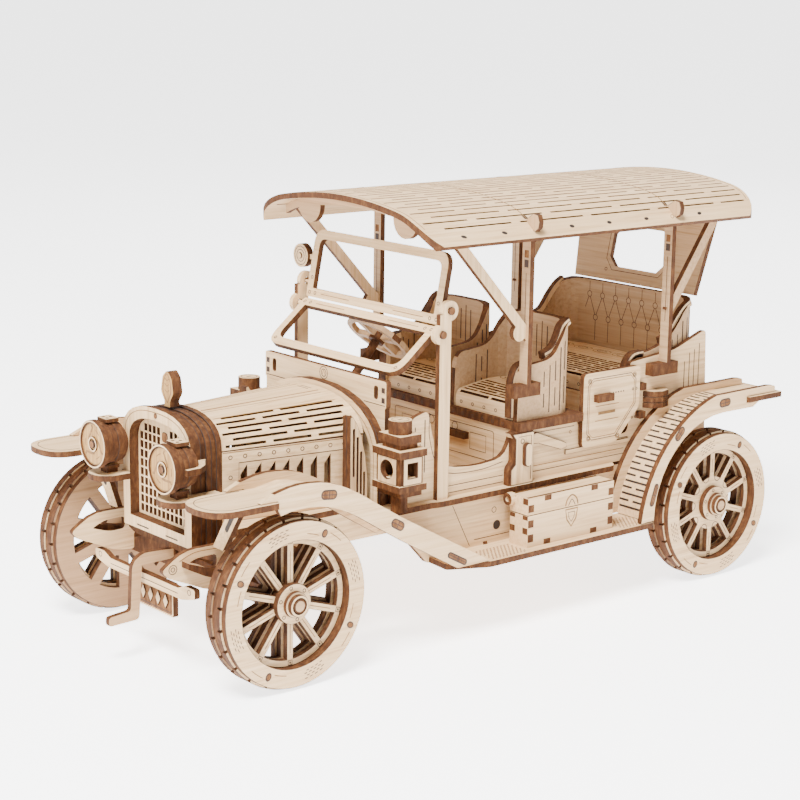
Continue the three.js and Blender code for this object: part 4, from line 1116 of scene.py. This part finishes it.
def body_marks():
    build = Build()
    for sign in BOTH:
        face = side(38, sign)
        mark(build, smooth([(29.2, 76), (28.9, 66.5), (23.4, 55.3), (8, 53.1), (-4.2, 54.4)]), face)
        mark(build, [(21.8, 49.6), (-4.6, 49.6)], face)
        mark(build, [(21.8, 47.2), (-4.6, 47.2)], face)
        # Slits drawn as dark strips of painted shade.
        for x, low, high in ((37.6, 50, 64), (35.4, 52, 72), (33.2, 50, 66), (31.2, 56, 74)):
            mark(build, [(x, low), (x, high)], face, SLIT_SHADE, width=0.4)
        mark(build, smooth([(-40.4, 63.4), (-43.8, 57.4), (-47, 54.6)]) + [(-66, 54.6)], face)
        mark(build, [(-17.6, 48.6), (-17.6, 62.4), (-38.4, 62.4)], face)
        mark(build, [(-17.6, 48.6), (-104, 48.6)], face)
        mark(build, [(-17.6, 50.6), (-64, 50.6)], face, SCORED)
        # Slits drawn as dark strips of painted shade.
        for x, low, high in ((-95, 60, 79), (-97.6, 54, 82), (-100.2, 58, 83), (-102.8, 54, 85)):
            mark(build, [(x, low), (x, high)], face, SLIT_SHADE, width=0.36)
        for x, z in ((-20.5, 60.4), (-36.6, 60.4), (-70, 52.4)):
            rivet(build, x, z, face, 0.5, SCORED)
        # The pillar's cover, its lever and the slanted stay behind it.
        cover = side(40.6, sign)
        waisted = [(-15.8, 46.2), (-5.4, 46.2), (-5.4, 51.6), (-7.4, 53.4)]
        waisted += [(-7.4, 62.2), (-5.8, 64.2), (-15.8, 64.2)]
        plate(build, [waisted], 0.7, cover, FACE["z"], rim=0.2)
        over = side(41.3, sign)
        mark(build, [(-14.6, 47.4), (-14.6, 63), (-8.8, 63)], over)
        rivet(build, -10.4, 61.4, over, 0.8)
        plate(build, [rectangle(-13.6, -10.4, 52.4, 60.8, 1.5, 4)], 1.8, over, FACE["z"], rim=0.3)
        stay = [(-16.4, 62.4), (-19.4, 62.8), (-33.6, 57.2), (-34, 55.4)]
        stay += [(-31, 55), (-20, 58.8), (-16.4, 59)]
        plate(build, [stay], 1.2, face, rim=0.2)
        ledge = [(-34, 52.6), (-34, 54.2), (-66, 54.2), (-66, 52.6)]
        plate(build, [ledge], 0.6, face, rim=0.12)
        block = [(-73.2, 38), (-75.4, 41.4), (-79, 42.8), (-83, 41.6), (-85.4, 38)]
        for height in (64.3, 66.4, 68.5):
            plate(build, [[(u, sign * v) for u, v in block]], SHEET, level(height), rim=0.2)
        # Tenons of the posts and the roof frames.
        for x in (-11, -81):
            front = across(x)
            low, high = sorted((sign * 39.1, sign * 41.1))
            spot(build, rectangle(low, high, 121.6, 124.2), front, CHAR, 0.06)
            spot(build, rectangle(low, high, 124.9, 127.5), front, SOFT_EDGE, 0.06)
            mark(build, [(sign * 40.1, 119.6), (sign * 40.1, 96)], front)
    build.finish("body_engraving")


def shell_slits(build, back, front, y0, y1, edge, pitch, keep):
    """Upright slits round a bent seat shell, seen on both of its faces, drawn as dark strips of painted
    shade.
    """
    corner, foot = SEAT_CORNER, 69
    outer = [(front + (back + corner - front) * k / 6, y0) for k in range(6)]
    for (x0, v0), (xm, vm), (x1, v1) in (((back + corner, y0), (back, y0), (back, y0 + corner)),
                                        ((back, y1 - corner), (back, y1), (back + corner, y1))):
        for t in (k / 8 for k in range(9)):
            p, q, r = (1 - t) ** 2, 2 * t * (1 - t), t * t
            outer.append((p * x0 + q * xm + r * x1, p * v0 + q * vm + r * v1))
    outer += [(back + corner + (front - back - corner) * k / 6, y1) for k in range(1, 7)]
    travelled, number = 0.0, 0
    for a, b in zip(outer, outer[1:]):
        a, b = Vector(a), Vector(b)
        length = (b - a).length
        if length < 1e-6:
            continue
        along = (b - a) / length
        out = Vector((-along.y, along.x))
        while travelled < length:
            p = a + along * travelled
            travelled += pitch
            number += 1
            top = between(edge, p.x) - 2.6
            middle = (foot + top) / 2
            spans = [(foot, top)] if number % 2 else [(foot + 2, middle - 1.2), (middle + 1.2, top - 1.5)]
            for shift, way in ((0, 1), (-SHEET, -1)):
                if not keep(p.x, p.y, way):
                    continue
                q = p + out * shift

                def wall(u, v, w, q=q, along=along, out=out, way=way):
                    place = q + along * u + out * (way * w)
                    return place.x, place.y, v

                for low, high in spans:
                    if high - low > 2:
                        mark(build, [(0, low), (0, high)], wall, SLIT_SHADE, rise=0.06, width=0.42)
        travelled -= length


def seat_marks():
    build = Build()
    front_edge = [(-10.5, 70), (-11, 83), (-13, 86.2), (-18, 87), (-26, 88.4), (-31, 94), (-35, 99)]
    front_edge += [(-41, 100.4)]
    for sign in BOTH:
        y0, y1 = sorted((sign * 3, sign * 38))
        shell_slits(build, -40, -10, y0, y1, front_edge, 2.7,
                    lambda x, y, way: x < (-22 if way > 0 else -19))
    rear_edge = [(-66, 70), (-67, 82), (-72, 84), (-80, 84.6), (-88, 87.4), (-93, 93), (-98, 98.6)]
    rear_edge += [(-106, 101.4)]
    shell_slits(build, -105.8, -66, -35.7, 35.7, rear_edge, 2.8,
                lambda x, y, way: x < -76 and (abs(y) > 25 or way > 0))
    # Rolls of bent sheet along the ends of the shells.
    for sign in BOTH:
        roll = side(32.6, sign)
        for path, reach in (
            ([(-10.9, 68.4), (-10.9, 77), (-11.5, 82), (-13.4, 85.6), (-17.4, 86.6)], 3.3),
            ([(-25, 88.6), (-29.6, 90.4), (-32.4, 94.4), (-34, 98), (-37, 100)], 3.3),
            ([(-67, 68.4), (-66.8, 76), (-67.8, 80.8), (-70.6, 83.4), (-75.4, 83.6)], 3.1),
            ([(-85, 87.2), (-89.4, 89.2), (-93.6, 94.4), (-97.4, 98.2), (-101, 100.2)], 2.2),
        ):
            left, right = stripe(smooth(path, 4), 2.6)
            plate(build, [left + right[::-1]], reach, roll, FACE["z"], rim=0.25)
            mark(build, smooth(path, 4), side(32.6 + reach, sign), CHAR)
    back = across(-103.8)
    pitch = 7
    high_row, low_row = 95.6, 86.6
    for i in range(-3, 4):
        u = i * pitch
        rivet(build, u, high_row, back, 1.15)
        mark(build, [(u, high_row + 1.2), (u, 100.6)], back)
        for step in (-0.5, 0.5):
            if abs(u + step * pitch) < 24.6:
                start, end = u + step * 0.8, u + step * (pitch - 0.8)
                mark(build, [(start, high_row - 1.2), (end, low_row + 1.2)], back)
    for i in range(-4, 4):
        u = (i + 0.5) * pitch
        if abs(u) < 25:
            rivet(build, u, low_row, back, 1.15)
            mark(build, [(u, low_row - 1.2), (u, 77.5)], back)
    face = across(-10)
    for sign in BOTH:
        mark(build, flip(rectangle(3, 27, 51, 62, 1), sign), face, closed=True)
        inset = flip(rectangle(14.6, 23, 53.6, 59.6), sign)
        mark(build, inset, face, closed=True)
        rivet(build, sign * 6.4, 60.4, face, 1.5)
        for i in range(6):
            rivet(build, sign * (6 + 5.2 * i), 65.9, across(-9.4), 0.5)
    window = leaning(-105.6, 101.8, 12.2)
    octagon = [(-12.2, 4.2), (12.2, 4.2), (15.9, 8.4), (15.9, 19.4)]
    octagon += [(12.2, 23.6), (-12.2, 23.6), (-15.9, 19.4), (-15.9, 8.4)]
    mark(build, octagon, window, closed=True)
    for u, v in octagon[:2] + octagon[4:6]:
        rivet(build, u * 1.25, v, window, 0.6)
    build.finish("seat_engraving", "car", "tan_ply")


def fender_marks():
    build = Build()
    for sign in BOTH:
        # Slits over the rear fender, drawn as dark strips of painted shade.
        for step in range(27):
            angle = math.radians(11.5 + 2.95 * step)
            c, s = math.cos(angle), math.sin(angle)

            def skin(u, v, w, c=c, s=s):
                return -105 + (45.5 + w) * c - v * s, sign * u, 21.3 + (45.5 + w) * s + v * c

            spans = ((46.6, 53.6), (38.8, 44.6)) if step % 2 else ((40.6, 51.6),)
            for low, high in spans:
                mark(build, [(low, 0), (high, 0)], skin, SLIT_SHADE, rise=0.06, width=0.75)
        outer = side(56.2, sign)
        plug(build, -97.7, 66.2, 6.2, 3.2, outer, -0.05)
        plug(build, -74, 57.8, 6, 3.1, outer, -0.8)
        plug(build, -61.8, 37, 8.6, 2.4, outer, 1.9)
        front = side(56, sign)
        plug(build, 85.1, 61.0, 6.4, 3.2, front, 0.12)
        plug(build, 57.3, 46.6, 6.0, 3.2, front, 0.52)
        plug(build, 31.6, 30.6, 9.5, 2.2, front, 0.5)
        tongue = level(61.8)
        outline = [(106.6, 38.4), (121, 38.6), (125.6, 41.6), (127, 46.6)]
        outline += [(125.6, 51.8), (121, 54.8), (108.6, 55)]
        mark(build, [(u, sign * v) for u, v in smooth(outline)], tongue, CHAR)
        plank = level(66.8)
        mark(build, [(-127.4, sign * 38.4), (-127.4, sign * 56), (-112, sign * 56)], plank)
        for u0, u1 in ((-61, -47), (-1.4, 15), (15, 26)):
            top = 55.2 if u1 <= 15 else 50
            rows = int((top - 44.6) / 1.05)
            for row in range(rows):
                v = sign * (45 + row * 1.05)
                u = u0 + 0.8 * (row % 2)
                while u < u1 - 0.9:
                    mark(build, [(u, v), (u + 0.85, v + sign * 0.35)], level(27), SOFT_EDGE, width=0.36)
                    u += 1.6
        skirt = side(40, sign)
        mark(build, [(29, 27.6), (40, 38.6)], skirt)
        mark(build, [(12, 27.6), (20, 43)], skirt)
        mark(build, [(-52, 29.4), (10, 29.4)], skirt)
        rivet(build, 1, 38.6, skirt, 1.0)
        # A round hole drawn as a spot of painted shade.
        spot(build, circle(-0.4, 33, 1.7, 14), skirt, SLIT_SHADE)
        # Slots in the stays, pins in the tips of the frame and a scored line along the front of each rail.
        # The slot in the stay is a spot of painted shade.
        stay = moved(rectangle(-0.9, 0.9, -4.6, 4.6, 0.85, 3), 37.6, 52.4, -0.58)
        spot(build, flip(stay, sign), across(109.4), SLIT_SHADE, 0.04)
        rail = side(28, sign)
        rivet(build, 124.4, 37.2, rail, 1.5)
        rivet(build, 124.4, 37.2, rail, 0.7)
        mark(build, smooth([(106, 41.2), (116, 41.4), (122, 39.4)]), rail, SCORED)
    build.finish("fender_engraving")


def glue_line(build, outline, x):
    """The dark line between two glued sheets, round the outside of an arch."""
    ring = [shrink(turned(outline), -0.05), shrink(turned(outline), 0.3)]
    plate(build, ring, 0.26, across(x - 0.13), CHAR, CHAR, rim=0.02)


def front_marks():
    build = Build()
    for i in range(1, 6):
        glue_line(build, arch(19.5, 38.2, 70, 81), 100 + 2 * i)
    glue_line(build, arch(34, 46, 62, 83, power=2.2), 47)
    board = across(44.4)
    for sign in BOTH:
        for low, high in ((80.2, 82.0), (83.6, 85.4)):
            spot(build, flip(rectangle(31.2, 32.9, low, high), sign), board)
        mark(build, [(sign * 33, 79.4), (sign * 22, 79.4)], board)
    for radius in (2.2, 1.3):
        rivet(build, 0, 85.2, board, radius)
    mark(build, [(-0.7, 84.6), (0, 86.2), (0.7, 84.6)], board, SCORED)
    hoop = across(48)
    mark(build, arch(31.8, 46.6, 62, 80.9, power=2.2), hoop, SCORED)
    # The crest on the radiator: a plain bud with veins.
    crest = across(107.6)
    bud = [(0, 83), (-2.2, 86.8), (-1.6, 90.6), (0, 92.4), (1.6, 90.6), (2.2, 86.8), (0, 83)]
    mark(build, smooth(bud), crest, SCORED, width=0.45)
    for height in (86.4, 88.4, 90.2):
        mark(build, [(-1.3, height + 0.8), (0, height), (1.3, height + 0.8)], crest, SCORED, width=0.3)
    # The plate under the cross beam carries a plain pattern of lozenges.
    tag = across(114.4)
    spot(build, rectangle(-12, 12, 16, 24.4, 0.6), tag, SOFT_EDGE)
    for i in range(-2, 3):
        lozenge = [(i * 4.4 + 1.5 * a, 20.2 + 2.5 * b) for a, b in ((0, -1), (1, 0), (0, 1), (-1, 0))]
        plate(build, [lozenge], 0.5, tag, FACE["y"], rim=0.15)
    mark(build, rectangle(-11.2, 11.2, 16.8, 23.6), tag, closed=True, rise=0.1)
    beam = across(117.4)
    for u in (-26.4, 26.4):
        rivet(build, u, 28, beam, 0.9)
    mark(build, [(-20, 26.2), (20, 26.2)], beam)
    apron = level(38.2)
    mark(build, [(98, -22), (105.6, -22), (108.2, -14), (108.2, 14), (105.6, 22), (98, 22)], apron)
    # Walls of the lanterns, with a round window in front and a square one at the side.
    for sign in BOTH:
        x, y = 45.4, 42.2
        window = circle(sign * y, 61, 3.1, 24)
        wall = flip(rectangle(y - 4.7, y + 4.9, 56.3, 65.3), sign)
        plate(build, [wall, window], 0.7, across(x + 4.8), FACE["z"], rim=0.2)
        framed = [rectangle(x - 3.9, x + 3.9, 56.3, 65.3), rectangle(x - 2.1, x + 2.1, 58.5, 63.5)]
        plate(build, framed, 0.7, side(y + 6, sign), FACE["z"], rim=0.2)
        plate(build, [wall], 0.7, across(x - 4.8, -1), FACE["z"], rim=0.2)
        rivet(build, x, sign * y, level(76.9), 2.9)
        spot(build, rectangle(x - 0.9, x + 0.9, sign * y - 0.35, sign * y + 0.35), level(76.9))
    build.finish("front_engraving")


def screen_marks():
    """Rivets and pivot heads on the two windscreen frames, each on its own body."""
    for name, origin, lean, spots in (
        ("windscreen_upper", (22.6, 110), 11, ((34.6, -3.8), (31.4, -3.8), (34.4, 1.6))),
        ("windscreen_lower", (26, 102.3), 51, ((34.6, 0.4), (31.4, 0.4), (33.2, -17.6))),
    ):
        build = Build()
        face = leaning(*origin, lean, 1)
        for sign in BOTH:
            for u, v in spots:
                rivet(build, sign * u, v, face, 0.55)
            mark(build, [(sign * 12, spots[0][1]), (sign * 28, spots[0][1])], face, SCORED)
            head = side(40.2, sign)
            plate(build, [circle(origin[0], origin[1], 1.35, 16)], 0.7, head, SOFT_EDGE)
        if name == "windscreen_upper":
            mirror = across(22.6)
            for radius in (3.4, 2.2):
                rivet(build, -42.3, 118.5, mirror, radius)
            plate(build, [circle(-42.3, 118.5, 1.1, 14)], 0.5, mirror, FACE["z"])
        build.finish(name + "_marks", BODY_OF[name])


def door_marks(hand):
    sign = HANDS[hand]
    build = Build()
    face = side(40.3, sign)
    corners = [(-42.6, 59), (-42.6, 76.4), (-45, 78.8), (-64.4, 78.8)]
    corners += [(-66.8, 76.4), (-66.8, 67.4), (-57, 56.6), (-45, 56.6)]
    mark(build, corners, face, closed=True)
    mark(build, shrink(turned(corners), 0.8), face, SCORED, closed=True)
    for u, v in ((-43.4, 78), (-66, 78), (-43.4, 57.4), (-58.2, 56.4)):
        rivet(build, u, v, face, 0.9, SCORED)
        rivet(build, u, v, face, 0.45)
    for v in (68.6, 63.2):
        mark(build, [(-46.6, v), (-58.4, v)], face, SCORED)
    mark(build, [(-48, 65.9), (-56.6, 65.9)], face, SCORED, width=1.1)
    for i in range(5):
        spot(build, circle(-55.4 - i * 1.3, 72.6, 0.32, 8), face)
    for v in (61, 71.5):
        for u in (-67.2, -65.4):
            rivet(build, u, v + 1.2, face, 0.4)
    build.finish("door_engraving_" + hand, BODY_OF["rear_door_" + hand])


def finger_joints(build, end_spots, row_low, high):
    """Ends of the box joints: at the long side's corners, in a row along it, and on the front side."""
    long_side, short_side = side(52.6), across(-3.2)
    for x0, x1 in ((-5.9, -3.3), (-44.5, -42)):
        for z0, z1 in end_spots:
            spot(build, rectangle(x0, x1, z0, z1), long_side, EDGE)
    for x in (-12.5, -35):
        joint = rectangle(x - 1.6, x + 1.6, row_low + 0.05, row_low + SHEET - 0.05)
        spot(build, joint, long_side, EDGE)
    for z0, z1 in end_spots:
        for y0, y1 in ((43.7, 46.2), (50, 52.5)):
            spot(build, rectangle(y0, y1, z1, min(z1 + 2.2, high - 0.1)), short_side, EDGE)


def toolbox_marks():
    build = Build()
    finger_joints(build, ((28.8, 31.6), (34.0, 36.6)), 27, 38.2)
    long_side = side(52.6)
    shield = ((0, -1), (0.75, -0.2), (1, 0.9), (-1, 0.9), (-0.75, -0.2))
    outer = [(-24 + 2.9 * a, 34.6 + 3.3 * b) for a, b in shield]
    inner = [(-24 + 1.595 * a, 34.8 + 1.815 * b) for a, b in shield]
    mark(build, outer, long_side, SCORED, closed=True, width=0.55)
    mark(build, inner, long_side, closed=True)
    build.finish("toolbox_joints")
    lid = Build()
    finger_joints(lid, ((39.4, 42.0),), 42.5, 44.5)
    bow = [(-27, 38.9), (-26.2, 41.2), (-24, 42.6), (-21.8, 41.2), (-21, 38.9)]
    mark(lid, smooth(bow), long_side, SCORED, width=0.55)
    mark(lid, smooth([(-25.6, 38.9), (-24, 41), (-22.4, 38.9)]), long_side, width=0.3)
    lid_top = level(44.5)
    for low, high in ((43.7, 44.9), (51.3, 52.5)):
        spot(lid, rectangle(-44.4, -3.4, low, high), lid_top, EDGE, 0.04)
    lid.finish("toolbox_lid_joints", BODY_OF["toolbox_lid"])


body_marks()
seat_marks()
fender_marks()
front_marks()
screen_marks()
for hand in HANDS:
    door_marks(hand)
toolbox_marks()

# ---------------------------------------------------------------- kept nodes
for name in NODES:
    if not NODES[name].hide_render:
        dress(name)
NODES["radiator_finial"].data.materials[0] = GILT


# ---------------------------------------------------------------- studio
def add_light(name, place, target, size, watts):
    data = bpy.data.lights.new(name, "AREA")
    data.shape = "DISK"
    data.size = size
    data.energy = watts
    lamp = bpy.data.objects.new(name, data)
    lamp.location = place
    lamp.rotation_euler = (Vector(target) - Vector(place)).to_track_quat("-Z", "Y").to_euler()
    bpy.context.scene.collection.objects.link(lamp)


def add_studio():
    world = bpy.data.worlds.new("studio")
    world.use_nodes = True
    background = world.node_tree.nodes["Background"]
    background.inputs[0].default_value = (1, 1, 1, 1)
    background.inputs[1].default_value = WORLD_LIGHT
    bpy.context.scene.world = world
    add_light("key", (0.62, 0.38, 1.15), (0, 0, 0.05), 0.5, 62)
    add_light("front", (1.1, 0.15, 0.45), (0, 0, 0.06), 0.5, 6)
    add_light("back", (-0.9, -0.6, 0.8), (0, 0, 0.06), 0.8, 5)
    bpy.ops.mesh.primitive_plane_add(size=FLOOR_WIDTH, location=(0, 0, FLOOR_HEIGHT))
    floor = bpy.context.object
    floor.name = "studio_floor"
    floor.data.materials.append(floor_material())


add_studio()
add_camera()
